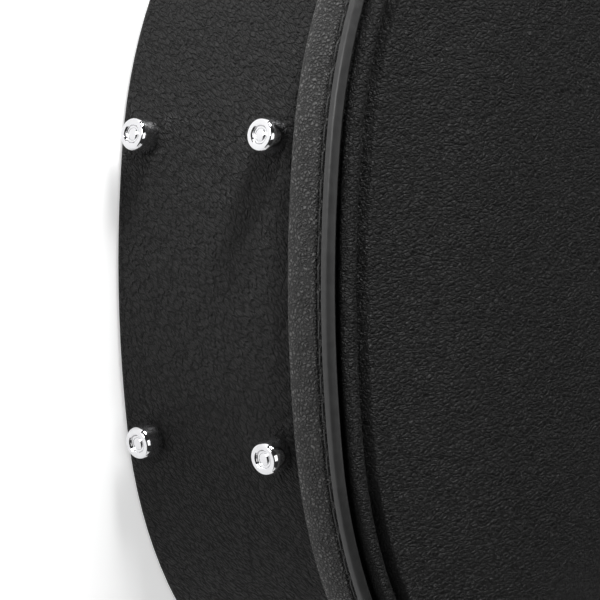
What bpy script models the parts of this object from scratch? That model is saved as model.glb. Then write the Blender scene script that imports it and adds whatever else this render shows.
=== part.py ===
"""Hardshell case for a bass guitar: shaped body, arched lid, chrome fittings, padded inside.

The case lies on its back. +X points to the tail, -X to the head end, +Z to the lid.
The hinges are on the +Y side, the handle and the latches on the -Y side.
All sizes are in metres. Plan coordinates are drawn with the tail's foremost point at x = 0,
and the last step moves everything so that the origin lies under the middle of the case.
"""

import math

import bmesh
import bpy
from mathutils import Matrix, Vector

# Clearance between pieces that rest on or in each other
FIT = 0.0003
# Largest turn of one facet of the outline
ARC_SAG = 0.0006
# Half length of a cutter that passes right through a small fitting
THROUGH = 0.020
# Smallest radius that an inner corner keeps when the outline is drawn in
LEAST_RADIUS = 0.006

# Outline, half of it: the other half is its mirror image
CASE_LENGTH = 1.225
TAIL_SLOPE = math.radians(7.0)
TAIL_ARC_RADIUS = 0.491
TAIL_FLANK_SLOPE = math.radians(30.0)
TAIL_FLANK_RADIUS = 0.209
TAIL_CORNER_RADIUS = 0.137
LOWER_BOUT_HALF = 0.1975
LOWER_BOUT_X = -0.185
UPPER_BOUT_HALF = 0.176
UPPER_BOUT_X = -0.585
LOWER_BOUT_END_X = -0.243
WAIST_TAIL_X = -0.308
WAIST_HEAD_X = -0.480
WAIST_HALF = 0.165
UPPER_BOUT_START_X = -0.530
SHOULDER_X = -0.640
NECK_START_X = -0.725
NECK_HALF = 0.097
BOUT_RADIUS = 0.120
WAIST_RADIUS = 0.120
SHOULDER_RADIUS = 0.080
NECK_FILLET_RADIUS = 0.060
HEAD_CORNER_RADIUS = 0.045
HEAD_SLOPE = math.radians(4.0)
HEAD_ARC_RADIUS = 0.300

# Base shell
WALL = 0.005
BASE_DEPTH = 0.100
BACK_THICKNESS = 0.005
RIM_RADIUS = 0.003
LIP_THICKNESS = 0.0025
LIP_DEPTH = 0.040
LIP_RISE = 0.008
FLOOR_PAD = 0.018
SIDE_PAD = 0.015
SIDE_PAD_BELOW_RIM = 0.003
PAD_ROUNDING = 0.004
TAIL_PAD_START_X = -0.130

# Neck support and accessory pocket, both across the neck box
NECK_REST_X = -0.790
NECK_REST_LENGTH = 0.050
NECK_REST_HEIGHT = 0.052
NECK_NOTCH_WIDTH = 0.074
NECK_NOTCH_DEPTH = 0.022
POCKET_WALL_X = (-0.850, -1.010)
POCKET_WALL_THICKNESS = 0.010
POCKET_WALL_HEIGHT = 0.030

# Lid shell
LID_WALL_DEPTH = 0.0173
BAND_PROUD = 0.0041
BAND_EDGE_RADIUS = 0.0014
BEAD_HEIGHT = 0.0056
BEAD_WIDTH = 0.0030
PANEL_EDGE_INSET = 0.0005
ROLL_RADIUS = 0.006
ROLL_CENTRE_RISE = 0.0037
GROOVE_TURN = math.radians(18.0)
STEP_INSET = 0.0145
STEP_RISE = 0.0113
CREASE_INSET = 0.067
CREASE_RISE = 0.0235
PANEL_THICKNESS = 0.0045
STEP_LAND = 0.0008
FRAME_WIDTH = 0.0125
CROWN_RISE = 0.0056
CROWN_REACH = 0.130
CROWN_COLUMNS = 6
LID_PAD = 0.015
LID_PAD_EDGE = 0.007

# Chrome feet
FOOT_RADIUS = 0.0075
FOOT_HEIGHT = 0.0090
FOOT_FACE_RADIUS = 0.0062
FOOT_RECESS_RADIUS = 0.0042
FOOT_RECESS_DEPTH = 0.0026
FOOT_TACK_RADIUS = 0.0028
FOOT_FROM_BACK = 0.0153
FOOT_FROM_RIM = 0.0128
TAIL_FOOT_HALF_SPACING = 0.0658
SIDE_FOOT_X = (-0.162, -0.557)
FOOT_SIDES = 12

# Hinges
HINGE_X = (-0.198, -0.592)
HINGE_WIDTH = 0.036
HINGE_AXIS_OUT = 0.008
KNUCKLE_RADIUS = 0.0034
KNUCKLE_COUNT = 5
KNUCKLE_GAP = 0.0005
PIN_RADIUS = 0.0015
LEAF_THICKNESS = 0.0014
BASE_LEAF_DROP = 0.024
LID_LEAF_TOP = 0.0150

# Latches
LATCH_X = (-0.190, -0.581, -0.800)
HEAD_LATCH_FROM_END = 0.105
LOCKED_LATCH = 1
LATCH_PLATE_HALF = 0.0165
LATCH_PLATE_HEIGHT = 0.048
LATCH_PLATE_BELOW_RIM = 0.003
LATCH_PLATE_THICKNESS = 0.0014
LEVER_AXIS_OUT = 0.006
LEVER_AXIS_BELOW_RIM = 0.012
LEVER_PIN_RADIUS = 0.0013
EAR_THICKNESS = 0.0014
EAR_RADIUS = 0.0034
EAR_DROP = 0.008
LEVER_HALF = 0.0118
LEVER_SHELL_OUT = 0.0120
LEVER_THICKNESS = 0.0014
LEVER_TOP_BELOW_RIM = 0.0203
LEVER_LENGTH = 0.0337
LEVER_FLARE = 0.0030
LEVER_FLARE_HEIGHT = 0.010
HOOK_AXIS_OUT = 0.010
HOOK_AXIS_BELOW_RIM = 0.017
HOOK_PIN_RADIUS = 0.0012
HOOK_EYE_RADIUS = 0.0025
HOOK_HALF = 0.0078
HOOK_THICKNESS = 0.0012
KEEPER_HALF = 0.0120
KEEPER_THICKNESS = 0.0013
KEEPER_ABOVE_RIM = 0.0030
KEEPER_HEIGHT = 0.0125
KEEPER_LEDGE_ABOVE_RIM = 0.0100
KEEPER_LEDGE_REACH = 0.0034
LOCK_RADIUS = 0.0042
LOCK_HEIGHT = 0.0024
LOCK_BELOW_RIM = 0.0360
LOCK_SIDES = 20

# Handle
HANDLE_PIVOT_SPACING = 0.106
HANDLE_AXIS_OUT = 0.0062
HANDLE_AXIS_BELOW_RIM = 0.032
HANDLE_DROP = 0.030
HANDLE_GRIP_OUT = 0.0125
GRIP_HALF_THICKNESS = 0.0088
GRIP_HALF_HEIGHT = 0.0105
GRIP_END_SHARE = 0.72
GRIP_SIDES = 14
GRIP_STATIONS = 8
BRACKET_PIN_RADIUS = 0.0022
BRACKET_HALF_WIDTH = 0.0120
BRACKET_HALF_HEIGHT = 0.0150
BRACKET_THICKNESS = 0.0014
BRACKET_EAR_THICKNESS = 0.0022
LOOP_THICKNESS = 0.0034
LOOP_EYE_RADIUS = 0.0042
LOOP_CAP_WALL = 0.0012

# Heights that follow from the sizes above
FLOOR_TOP = BACK_THICKNESS + FIT + FLOOR_PAD
LID_BOTTOM = BASE_DEPTH + FIT
LID_WALL_TOP = BASE_DEPTH + LID_WALL_DEPTH
LINER_INSET = WALL + FIT
PAD_INNER = LINER_INSET + SIDE_PAD
HINGE_AXIS_Z = BASE_DEPTH + FIT / 2
LATCH_PLATE_TOP = BASE_DEPTH - LATCH_PLATE_BELOW_RIM
LATCH_PLATE_BOTTOM = LATCH_PLATE_TOP - LATCH_PLATE_HEIGHT
LEVER_AXIS_Z = BASE_DEPTH - LEVER_AXIS_BELOW_RIM
LEVER_TOP_Z = BASE_DEPTH - LEVER_TOP_BELOW_RIM
LEVER_BOTTOM_Z = LEVER_TOP_Z - LEVER_LENGTH
HOOK_AXIS_Z = BASE_DEPTH - HOOK_AXIS_BELOW_RIM
KEEPER_BOTTOM_Z = BASE_DEPTH + KEEPER_ABOVE_RIM
KEEPER_TOP_Z = KEEPER_BOTTOM_Z + KEEPER_HEIGHT
KEEPER_LEDGE_Z = BASE_DEPTH + KEEPER_LEDGE_ABOVE_RIM
LOCK_Z = BASE_DEPTH - LOCK_BELOW_RIM
HANDLE_AXIS_Z = BASE_DEPTH - HANDLE_AXIS_BELOW_RIM
LATCH_SIDE = -1
HINGE_SIDE = 1


def clear_scene():
    """Remove whatever the file holds."""
    for old in list(bpy.data.objects):
        bpy.data.objects.remove(old, do_unlink=True)


def principled(name, colour, roughness, metallic=0.0):
    """A Principled material."""
    material = bpy.data.materials.new(name)
    material.use_nodes = True
    shader = material.node_tree.nodes["Principled BSDF"]
    shader.inputs["Base Color"].default_value = (*colour, 1.0)
    shader.inputs["Roughness"].default_value = roughness
    shader.inputs["Metallic"].default_value = metallic
    material.diffuse_color = (*colour, 1.0)
    return material


def turned(vector, angle):
    """A plan vector turned to the left by an angle."""
    c, s = math.cos(angle), math.sin(angle)
    return Vector((vector.x * c - vector.y * s, vector.x * s + vector.y * c))


def crossing(point_a, along_a, point_b, along_b):
    """Where two plan lines meet."""
    t = (point_b - point_a).cross(along_b) / along_a.cross(along_b)
    return point_a + along_a * t


def side_y(x):
    """The straight line that both bouts touch, where the hinges sit."""
    slope = (LOWER_BOUT_HALF - UPPER_BOUT_HALF) / (LOWER_BOUT_X - UPPER_BOUT_X)
    return LOWER_BOUT_HALF + slope * (x - LOWER_BOUT_X)


def side_direction():
    """Unit vector along that line, towards the tail."""
    return Vector((1.0, side_y(1.0) - side_y(0.0))).normalized()


def corner_list():
    """Corners of the half outline before rounding, tail to head, with their radii."""
    tail = Vector((TAIL_ARC_RADIUS * (1 / math.cos(TAIL_SLOPE) - 1), 0.0))
    head = Vector((-CASE_LENGTH - HEAD_ARC_RADIUS * (1 / math.cos(HEAD_SLOPE) - 1), 0.0))
    tail_edge = turned(Vector((0.0, 1.0)), TAIL_SLOPE)
    flank_edge = turned(Vector((0.0, 1.0)), TAIL_FLANK_SLOPE)
    head_edge = turned(Vector((0.0, 1.0)), -HEAD_SLOPE)
    side_point = Vector((LOWER_BOUT_X, LOWER_BOUT_HALF))
    flank_reach = TAIL_FLANK_RADIUS * math.tan((TAIL_FLANK_SLOPE - TAIL_SLOPE) / 2)
    tail_flank = tail + tail_edge * (TAIL_ARC_RADIUS * math.tan(TAIL_SLOPE) + flank_reach)
    tail_corner = crossing(tail_flank, flank_edge, side_point, side_direction())
    head_corner = crossing(head, head_edge, Vector((0.0, NECK_HALF)), Vector((1.0, 0.0)))
    return [
        (tail, TAIL_ARC_RADIUS),
        (tail_flank, TAIL_FLANK_RADIUS),
        (tail_corner, TAIL_CORNER_RADIUS),
        (Vector((LOWER_BOUT_END_X, side_y(LOWER_BOUT_END_X))), BOUT_RADIUS),
        (Vector((WAIST_TAIL_X, WAIST_HALF)), WAIST_RADIUS),
        (Vector((WAIST_HEAD_X, WAIST_HALF)), WAIST_RADIUS),
        (Vector((UPPER_BOUT_START_X, side_y(UPPER_BOUT_START_X))), BOUT_RADIUS),
        (Vector((SHOULDER_X, side_y(SHOULDER_X))), SHOULDER_RADIUS),
        (Vector((NECK_START_X, NECK_HALF)), NECK_FILLET_RADIUS),
        (head_corner, HEAD_CORNER_RADIUS),
        (head, HEAD_ARC_RADIUS),
    ]


def drawn_in(corners, inset):
    """Corner points of the outline moved inwards by an inset."""
    points = [corner for corner, _ in corners]
    edges = []
    for start, end in zip(points, points[1:]):
        along = (end - start).normalized()
        inwards = Vector((-along.y, along.x))
        edges.append((start + inwards * inset, along))
    axis = (Vector((0.0, 0.0)), Vector((1.0, 0.0)))
    lines = [axis, *edges, axis]
    return [crossing(*before, *after) for before, after in zip(lines, lines[1:])]


def arc_steps(angle, radius):
    """Number of segments that keeps an arc within ARC_SAG of its true curve."""
    return max(1, math.ceil(abs(angle) / (2 * math.acos(1 - ARC_SAG / radius)) - 1e-6))


def rounded_corner(corner, before, turn, reach, steps):
    """Arc points that round one corner, from one tangent point to the other."""
    radius = math.copysign(reach / math.tan(abs(turn) / 2), turn)
    start = corner - before * reach
    centre = start + Vector((-before.y, before.x)) * radius
    return [centre + turned(start - centre, turn * k / steps) for k in range(steps + 1)]


def end_arc(tip, along, reach, slope, steps):
    """Half of the shallow arc at one end, from the centre line outwards."""
    start = tip + along * reach
    radius = reach / math.tan(slope)
    facing = math.copysign(1.0, tip.x - start.x)
    centre_x = start.x - facing * radius * math.cos(slope)
    angles = [slope * k / steps for k in range(steps + 1)]
    return [Vector((centre_x + facing * radius * math.cos(a), radius * math.sin(a))) for a in angles]


def half_outline(inset):
    """Points from the tail's middle to the head's middle along the +Y side."""
    corners = corner_list()
    points = drawn_in(corners, inset)
    alongs = [(b - a).normalized() for a, b in zip(points, points[1:])]
    lengths = [(b - a).length for a, b in zip(points, points[1:])]
    inner = [math.atan2(a.cross(b), a.dot(b)) for a, b in zip(alongs, alongs[1:])]
    turns = [2 * TAIL_SLOPE, *inner, 2 * HEAD_SLOPE]
    radii = [max(radius - math.copysign(inset, turn), LEAST_RADIUS) for (_, radius), turn in zip(corners, turns)]
    reaches = [radius * math.tan(abs(turn) / 2) for radius, turn in zip(radii, turns)]
    shares = [min(1.0, length / (a + b)) for length, a, b in zip(lengths, reaches, reaches[1:])]
    reaches = [reach * min(pair) for reach, *pair in zip(reaches, [1.0, *shares], [*shares, 1.0])]
    steps = [arc_steps(turn, radius) for turn, (_, radius) in zip(turns, corners)]
    tail = end_arc(points[0], alongs[0], reaches[0], TAIL_SLOPE, math.ceil(steps[0] / 2))
    head = end_arc(points[-1], -alongs[-1], reaches[-1], HEAD_SLOPE, math.ceil(steps[-1] / 2))
    result = []
    for corner, before, turn, reach, count in zip(points[1:-1], alongs, inner, reaches[1:-1], steps[1:-1]):
        result += rounded_corner(corner, before, turn, reach, count)
    return [*tail, *result, *head[::-1]]


def outline(inset):
    """The whole outline, counter-clockwise from the tail's middle."""
    half = half_outline(inset)
    mirrored = [Vector((p.x, -p.y)) for p in half[-2:0:-1]]
    return half + mirrored


def add_ring(bm, inset, z):
    """One ring of vertices at an inset and a height."""
    return [bm.verts.new((p.x, p.y, z)) for p in outline(inset)]


def join_rings(bm, lower, upper):
    """Faces between two rings."""
    count = len(lower)
    for i in range(count):
        j = (i + 1) % count
        bm.faces.new((lower[i], lower[j], upper[j], upper[i]))


def from_edge(point, plan):
    """Distance of a plan point from a closed plan outline, where points may also lie on each other."""
    distances = []
    for start, end in zip(plan, plan[1:] + plan[:1]):
        along = (end - start).normalized()
        reach = min((end - start).length, max(0.0, (point - start).dot(along)))
        distances.append((point - start - along * reach).length)
    return min(distances)


def crown_rise(distance):
    """Height of the crown over its springing, which it leaves at the same slope all round."""
    short = 1 - min(distance / CROWN_REACH, 1.0)
    return CROWN_RISE * (1 - short * short)


def close_ring(bm, ring, columns, crowned):
    """Close a ring with rows across the case, crowned or flat."""
    plan = [vertex.co.xy for vertex in ring]
    half = len(ring) // 2
    rows = [[ring[0]]]
    for i in range(1, half):
        left, right = ring[i], ring[-i]
        row = [left]
        for k in range(1, columns):
            y = left.co.y + (right.co.y - left.co.y) * k / columns
            rise = crown_rise(from_edge(Vector((left.co.x, y)), plan)) if crowned else 0.0
            row.append(bm.verts.new((left.co.x, y, left.co.z + rise)))
        rows.append(row + [right])
    rows.append([ring[half]])
    for before, after in zip(rows, rows[1:]):
        if len(before) == 1:
            for k in range(columns):
                bm.faces.new((before[0], after[k], after[k + 1]))
        elif len(after) == 1:
            for k in range(columns):
                bm.faces.new((before[k], after[0], before[k + 1]))
        else:
            for k in range(columns):
                bm.faces.new((before[k], after[k], after[k + 1], before[k + 1]))


def ring_shell(profile):
    """A closed ring that follows the outline: the profile is a loop of (inset, z)."""
    bm = bmesh.new()
    rings = [add_ring(bm, inset, z) for inset, z in profile]
    for lower, upper in zip(rings, rings[1:] + rings[:1]):
        join_rings(bm, lower, upper)
    return bm


def section(bm, x0, x1, side=0):
    """Keep a ring's part between two plan x values, on one side or on both, and close its cut ends."""
    planes = [((x0, 0.0, 0.0), (-1.0, 0.0, 0.0)), ((x1, 0.0, 0.0), (1.0, 0.0, 0.0))]
    if side:
        planes.append(((0.0, 0.0, 0.0), (0.0, -side, 0.0)))
    for point, away in planes:
        geometry = [*bm.verts, *bm.edges, *bm.faces]
        bmesh.ops.bisect_plane(bm, geom=geometry, plane_co=point, plane_no=away, clear_outer=True)
        bmesh.ops.edgeloop_fill(bm, edges=[edge for edge in bm.edges if edge.is_boundary])
    return bm


def plate_shell(profile, columns=1, crowned=False):
    """A plate inside the outline: the profile runs from its lower ring to its upper ring."""
    bm = bmesh.new()
    rings = [add_ring(bm, inset, z) for inset, z in profile]
    for lower, upper in zip(rings, rings[1:]):
        join_rings(bm, lower, upper)
    close_ring(bm, rings[0], columns, crowned)
    close_ring(bm, rings[-1], columns, crowned)
    return bm


def prism(points, x0, x1):
    """A prism along X from a loop of (y, z) points."""
    bm = bmesh.new()
    near = [bm.verts.new((x0, y, z)) for y, z in points]
    far = [bm.verts.new((x1, y, z)) for y, z in points]
    bm.faces.new(near[::-1])
    bm.faces.new(far)
    for i in range(len(points)):
        j = (i + 1) % len(points)
        bm.faces.new((near[i], near[j], far[j], far[i]))
    return bm


def arc(centre, radius, start, end, steps):
    """Points of an arc in degrees, both ends included."""
    points = []
    for k in range(steps + 1):
        angle = math.radians(start + (end - start) * k / steps)
        points.append((centre[0] + radius * math.cos(angle), centre[1] + radius * math.sin(angle)))
    return points


def rod(radius, x0, x1, centre=(0.0, 0.0), sides=12):
    """A round rod along X."""
    return prism(arc(centre, radius, 0, 360 * (sides - 1) / sides, sides - 1), x0, x1)


def turned_solid(profile, sides):
    """A solid turned about Y from (radius, y) points, the first and the last on the axis."""
    bm = bmesh.new()
    rings = []
    for radius, y in profile:
        if radius == 0.0:
            rings.append([bm.verts.new((0.0, y, 0.0))])
            continue
        ring = []
        for k in range(sides):
            angle = 2 * math.pi * k / sides
            ring.append(bm.verts.new((radius * math.cos(angle), y, radius * math.sin(angle))))
        rings.append(ring)
    for a, b in zip(rings, rings[1:]):
        for k in range(sides):
            j = (k + 1) % sides
            if len(a) == 1:
                bm.faces.new((a[0], b[j], b[k]))
            elif len(b) == 1:
                bm.faces.new((a[k], a[j], b[0]))
            else:
                bm.faces.new((a[k], a[j], b[j], b[k]))
    return bm


def new_object(name, bm, material, smooth=0.0):
    """An object from a bmesh, its faces pointing outwards, smooth below an angle in degrees."""
    bmesh.ops.recalc_face_normals(bm, faces=bm.faces)
    mesh = bpy.data.meshes.new(name)
    bm.to_mesh(mesh)
    bm.free()
    if material:
        mesh.materials.append(material)
    if smooth:
        mesh.shade_smooth()
        mesh.set_sharp_from_angle(angle=math.radians(smooth))
    obj = bpy.data.objects.new(name, mesh)
    bpy.context.scene.collection.objects.link(obj)
    return obj


def guide(name, bm, parent):
    """A hidden shape that a Boolean uses."""
    obj = new_object(name, bm, None)
    obj.parent = parent
    obj.hide_render = True
    obj.display_type = "WIRE"
    return obj


def unite(obj, *shapes):
    """Fuse closed shapes, given in the object's own coordinates, into the object."""
    for k, shape in enumerate(shapes):
        modifier = obj.modifiers.new(f"joined_{k}", "BOOLEAN")
        modifier.operation = "UNION"
        modifier.object = guide(f"{obj.name}_joined_{k}", shape, obj)


def cut(obj, *shapes):
    """Cut closed shapes, given in the object's own coordinates, out of the object."""
    for k, shape in enumerate(shapes):
        modifier = obj.modifiers.new(f"cut_{k}", "BOOLEAN")
        modifier.operation = "DIFFERENCE"
        modifier.object = guide(f"{obj.name}_cut_{k}", shape, obj)


def round_edges(obj, width, angle):
    """Bevel the sharp edges of an object."""
    modifier = obj.modifiers.new("edges", "BEVEL")
    modifier.width = width
    modifier.segments = 1
    modifier.limit_method = "ANGLE"
    modifier.angle_limit = math.radians(angle)


def empty(name, matrix, parent=None):
    """An empty that carries a group of pieces or marks a joint's axis."""
    obj = bpy.data.objects.new(name, None)
    bpy.context.scene.collection.objects.link(obj)
    obj.empty_display_size = 0.02
    place(obj, matrix, parent)
    return obj


def place(obj, matrix, parent):
    """Parent an object and put it at a matrix in plan coordinates."""
    bpy.context.view_layer.update()
    obj.parent = parent
    if parent:
        obj.matrix_parent_inverse = parent.matrix_world.inverted()
    obj.matrix_basis = matrix


def wall_frame(point, outward, z=0.0):
    """Frame on a wall: X along the wall, Y outwards, Z up."""
    angle = math.atan2(-outward.x, outward.y)
    return Matrix.Translation((point.x, point.y, z)) @ Matrix.Rotation(angle, 4, "Z")


def wall_spot(value, side, coordinate):
    """Point and outward normal of the base wall where x (0) or y (1) has a value."""
    half = half_outline(0.0)
    for a, b in zip(half, half[1:]):
        low, high = sorted((a[coordinate], b[coordinate]))
        if low <= value <= high and high > low:
            share = (value - a[coordinate]) / (b[coordinate] - a[coordinate])
            point = a.lerp(b, share)
            outward = Vector((b.y - a.y, a.x - b.x)).normalized()
            return Vector((point.x, side * point.y)), Vector((outward.x, side * outward.y))
    raise ValueError("no such place on the wall")


def side_frame(x, side, z=0.0):
    """Frame on the side wall at a place along the case."""
    point, outward = wall_spot(x, side, 0)
    return wall_frame(point, outward, z)


def waist_ends():
    """Head end and tail end of the straight part of the waist."""
    flat = [p.x for p in half_outline(0.0) if abs(p.y - WAIST_HALF) < FIT / 10]
    return min(flat), max(flat)


def waist_middle():
    """Middle of the straight part of the waist, where the handle sits."""
    return sum(waist_ends()) / 2


def hinge_line():
    """A point on the lid's axis, in plan, and the axis direction, which opens the lid."""
    along = side_direction()
    outward = Vector((-along.y, along.x))
    start = Vector((LOWER_BOUT_X, LOWER_BOUT_HALF)) + outward * HINGE_AXIS_OUT
    return start, -along


def make_materials():
    """Finishes of the case."""
    return {
        "cover": principled("leatherette", (0.020, 0.020, 0.021), 0.55),
        "band": principled("pebble_leatherette", (0.030, 0.030, 0.031), 0.50),
        "bead": principled("smooth_vinyl", (0.035, 0.035, 0.036), 0.42),
        "plush": principled("plush", (0.045, 0.045, 0.050), 0.95),
        "lip": principled("fibre_board", (0.015, 0.015, 0.015), 0.70),
        "chrome": principled("chrome", (0.78, 0.78, 0.80), 0.12, 1.0),
        "grip": principled("grip", (0.022, 0.022, 0.023), 0.50),
    }


def four_strips(name, profile, finish, smooth):
    """A ring made of four strips: bent ones at the tail and the head, straight ones at the waist."""
    head_end, tail_end = waist_ends()
    half = FIT / 2
    parts = {
        "tail": (tail_end + half, THROUGH, 0),
        "waist_hinge_side": (head_end + half, tail_end - half, HINGE_SIDE),
        "waist_handle_side": (head_end + half, tail_end - half, LATCH_SIDE),
        "head": (-CASE_LENGTH - THROUGH, head_end - half, 0),
    }
    return [
        new_object(f"{name}_{place_name}", section(ring_shell(profile), *part), finish, smooth)
        for place_name, part in parts.items()
    ]


def base_walls(finish):
    """Plywood walls of the base, bent at the bouts and straight at the waist, with a folded back edge."""
    edge = arc((RIM_RADIUS, RIM_RADIUS), RIM_RADIUS, 270, 180, 2)
    profile = [(WALL, 0.0), *edge, (0.0, BASE_DEPTH), (WALL, BASE_DEPTH)]
    return four_strips("base_wall", profile, finish, 35)


def base_back_panel(finish):
    """Flat back panel, set into the wall."""
    profile = [(LINER_INSET, 0.0), (LINER_INSET, BACK_THICKNESS)]
    return new_object("base_back_panel", plate_shell(profile), finish)


def locating_lips(finish):
    """Strips inside the base walls that stand above the rim and centre the lid."""
    outer = LINER_INSET
    inner = outer + LIP_THICKNESS
    top = BASE_DEPTH + LIP_RISE
    bottom = BASE_DEPTH - LIP_DEPTH
    profile = [(outer, bottom), (outer, top), (inner, top), (inner, bottom)]
    return four_strips("locating_lip", profile, finish, 35)


def base_floor_pad(finish):
    """Padding on the back panel."""
    bottom = BACK_THICKNESS + FIT
    profile = [(LINER_INSET, bottom), (LINER_INSET, FLOOR_TOP)]
    return new_object("base_floor_pad", plate_shell(profile), finish)


def side_pads(finish):
    """Strips of padding round the inside of the wall, stepped to clear the locating lip."""
    bottom = FLOOR_TOP + FIT
    step = BASE_DEPTH - LIP_DEPTH - FIT
    behind_lip = LINER_INSET + LIP_THICKNESS + FIT
    top = BASE_DEPTH - SIDE_PAD_BELOW_RIM
    soft = PAD_ROUNDING
    profile = [
        (PAD_INNER, bottom),
        (LINER_INSET, bottom),
        (LINER_INSET, step),
        (behind_lip, step),
        (behind_lip, top),
        (PAD_INNER - soft, top),
        (PAD_INNER, top - soft),
    ]
    waist, head, half = waist_middle(), POCKET_WALL_X[1], FIT / 2
    parts = {
        "side_pad_tail": (TAIL_PAD_START_X + half, THROUGH, 0),
        "side_pad_lower_hinge_side": (waist + half, TAIL_PAD_START_X - half, HINGE_SIDE),
        "side_pad_lower_handle_side": (waist + half, TAIL_PAD_START_X - half, LATCH_SIDE),
        "side_pad_upper_hinge_side": (head + half, waist - half, HINGE_SIDE),
        "side_pad_upper_handle_side": (head + half, waist - half, LATCH_SIDE),
        "side_pad_head": (-CASE_LENGTH - THROUGH, head - half, 0),
    }
    return [new_object(name, section(ring_shell(profile), *part), finish, 40) for name, part in parts.items()]


def neck_box_half():
    """Half width of the neck box between the side pads."""
    return NECK_HALF - PAD_INNER - FIT


def neck_rest(finish):
    """Padded block with a cradle for the neck."""
    half = neck_box_half()
    bottom = FLOOR_TOP + FIT
    top = bottom + NECK_REST_HEIGHT
    floor = top - NECK_NOTCH_DEPTH
    notch = NECK_NOTCH_WIDTH / 2
    round_off = min(PAD_ROUNDING * 2, NECK_NOTCH_DEPTH * 0.45)
    right = arc((notch - round_off, floor + round_off), round_off, 0, -90, 3)
    left = arc((round_off - notch, floor + round_off), round_off, 270, 180, 3)
    lip_right = arc((notch + round_off, top - round_off), round_off, 90, 180, 3)
    lip_left = arc((-notch - round_off, top - round_off), round_off, 0, 90, 3)
    cradle = [*lip_right, *right, *left, *lip_left]
    points = [(-half, bottom), (half, bottom), (half, top), *cradle, (-half, top)]
    bm = prism(points, NECK_REST_X - NECK_REST_LENGTH / 2, NECK_REST_X + NECK_REST_LENGTH / 2)
    return new_object("neck_rest", bm, finish, 40)


def pocket_wall(name, x, finish):
    """Low cross wall of the accessory pocket under the neck."""
    half = neck_box_half()
    bottom = FLOOR_TOP + FIT
    top = bottom + POCKET_WALL_HEIGHT
    thick = POCKET_WALL_THICKNESS / 2
    crown = arc((0.0, top - thick), thick, 0, 180, 4)
    points = [(-thick, bottom), (thick, bottom), *crown]
    bm = prism(points, -half, half)
    obj = new_object(name, bm, finish, 40)
    obj.matrix_basis = Matrix.Translation((x, 0.0, 0.0)) @ Matrix.Rotation(math.pi / 2, 4, "Z")
    return obj


def lid_side_wall(finish):
    """Bent plywood wall of the lid."""
    profile = [(0.0, LID_BOTTOM), (0.0, LID_WALL_TOP), (WALL, LID_WALL_TOP), (WALL, LID_BOTTOM)]
    return new_object("lid_side_wall", ring_shell(profile), finish)


def lid_edge_band(finish):
    """Padded pebble-grain strip sewn round the lid wall, proud of the base."""
    radius = BAND_EDGE_RADIUS
    edge = arc((radius - BAND_PROUD, LID_BOTTOM + radius), radius, 270, 180, 2)
    profile = [(-FIT, LID_BOTTOM), *edge, (-BAND_PROUD, LID_WALL_TOP), (-FIT, LID_WALL_TOP)]
    return new_object("lid_edge_band", ring_shell(profile), finish, 35)


def lid_edge_bead(finish):
    """Smooth rolled bead on top of the band, beside the gap to the panel."""
    bottom = LID_WALL_TOP + FIT
    outer = -BAND_PROUD + FIT / 2
    inner = outer + BEAD_WIDTH
    top = bottom + BEAD_HEIGHT
    profile = [
        (inner, bottom),
        (outer, bottom),
        (outer + BEAD_WIDTH * 0.05, bottom + BEAD_HEIGHT * 0.40),
        (outer + BEAD_WIDTH * 0.36, bottom + BEAD_HEIGHT * 0.80),
        (outer + BEAD_WIDTH * 0.76, top),
        (inner, top - BEAD_HEIGHT * 0.15),
    ]
    return new_object("lid_edge_bead", ring_shell(profile), finish, 35)


def border_slope():
    """Rise of the lid's border for each metre inwards, from the step to the crease."""
    return (CREASE_RISE - STEP_RISE) / (CREASE_INSET - STEP_INSET)


def panel_underside(inset):
    """Height of the lid panel's underside on its sloping border."""
    return LID_WALL_TOP + STEP_RISE + (inset - STEP_INSET) * border_slope() - PANEL_THICKNESS


def lid_top_panel(finish):
    """Arched panel: rolled edge, groove, step, sloping border, crease and crown."""
    seat = LID_WALL_TOP + FIT
    centre = (PANEL_EDGE_INSET + ROLL_RADIUS, LID_WALL_TOP + ROLL_CENTRE_RISE)
    roll = arc(centre, ROLL_RADIUS, 180, math.degrees(GROOVE_TURN), 5)
    under = STEP_INSET + STEP_LAND
    profile = [
        (CREASE_INSET, panel_underside(CREASE_INSET)),
        (under, panel_underside(under)),
        (PANEL_EDGE_INSET + FRAME_WIDTH, seat),
        (PANEL_EDGE_INSET, seat),
        *roll,
        (STEP_INSET, LID_WALL_TOP + STEP_RISE),
        (CREASE_INSET, LID_WALL_TOP + CREASE_RISE),
    ]
    return new_object("lid_top_panel", plate_shell(profile, CROWN_COLUMNS, True), finish, 40)


def lid_pad(finish):
    """Padding under the lid panel, set down inside the lid wall above the locating lip."""
    outer = LINER_INSET
    edge = PANEL_EDGE_INSET + FRAME_WIDTH
    under = STEP_INSET + STEP_LAND
    bottom = LID_WALL_TOP - LID_PAD_EDGE
    profile = [
        (CREASE_INSET, panel_underside(CREASE_INSET) - FIT - LID_PAD),
        (under + LID_PAD, bottom),
        (outer, bottom),
        (outer, LID_WALL_TOP),
        (edge + FIT * 2, LID_WALL_TOP),
        (under + FIT * 2, panel_underside(under) - FIT * 2),
        (CREASE_INSET, panel_underside(CREASE_INSET) - FIT * 2),
    ]
    return new_object("lid_pad", plate_shell(profile, CROWN_COLUMNS, True), finish, 40)


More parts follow.
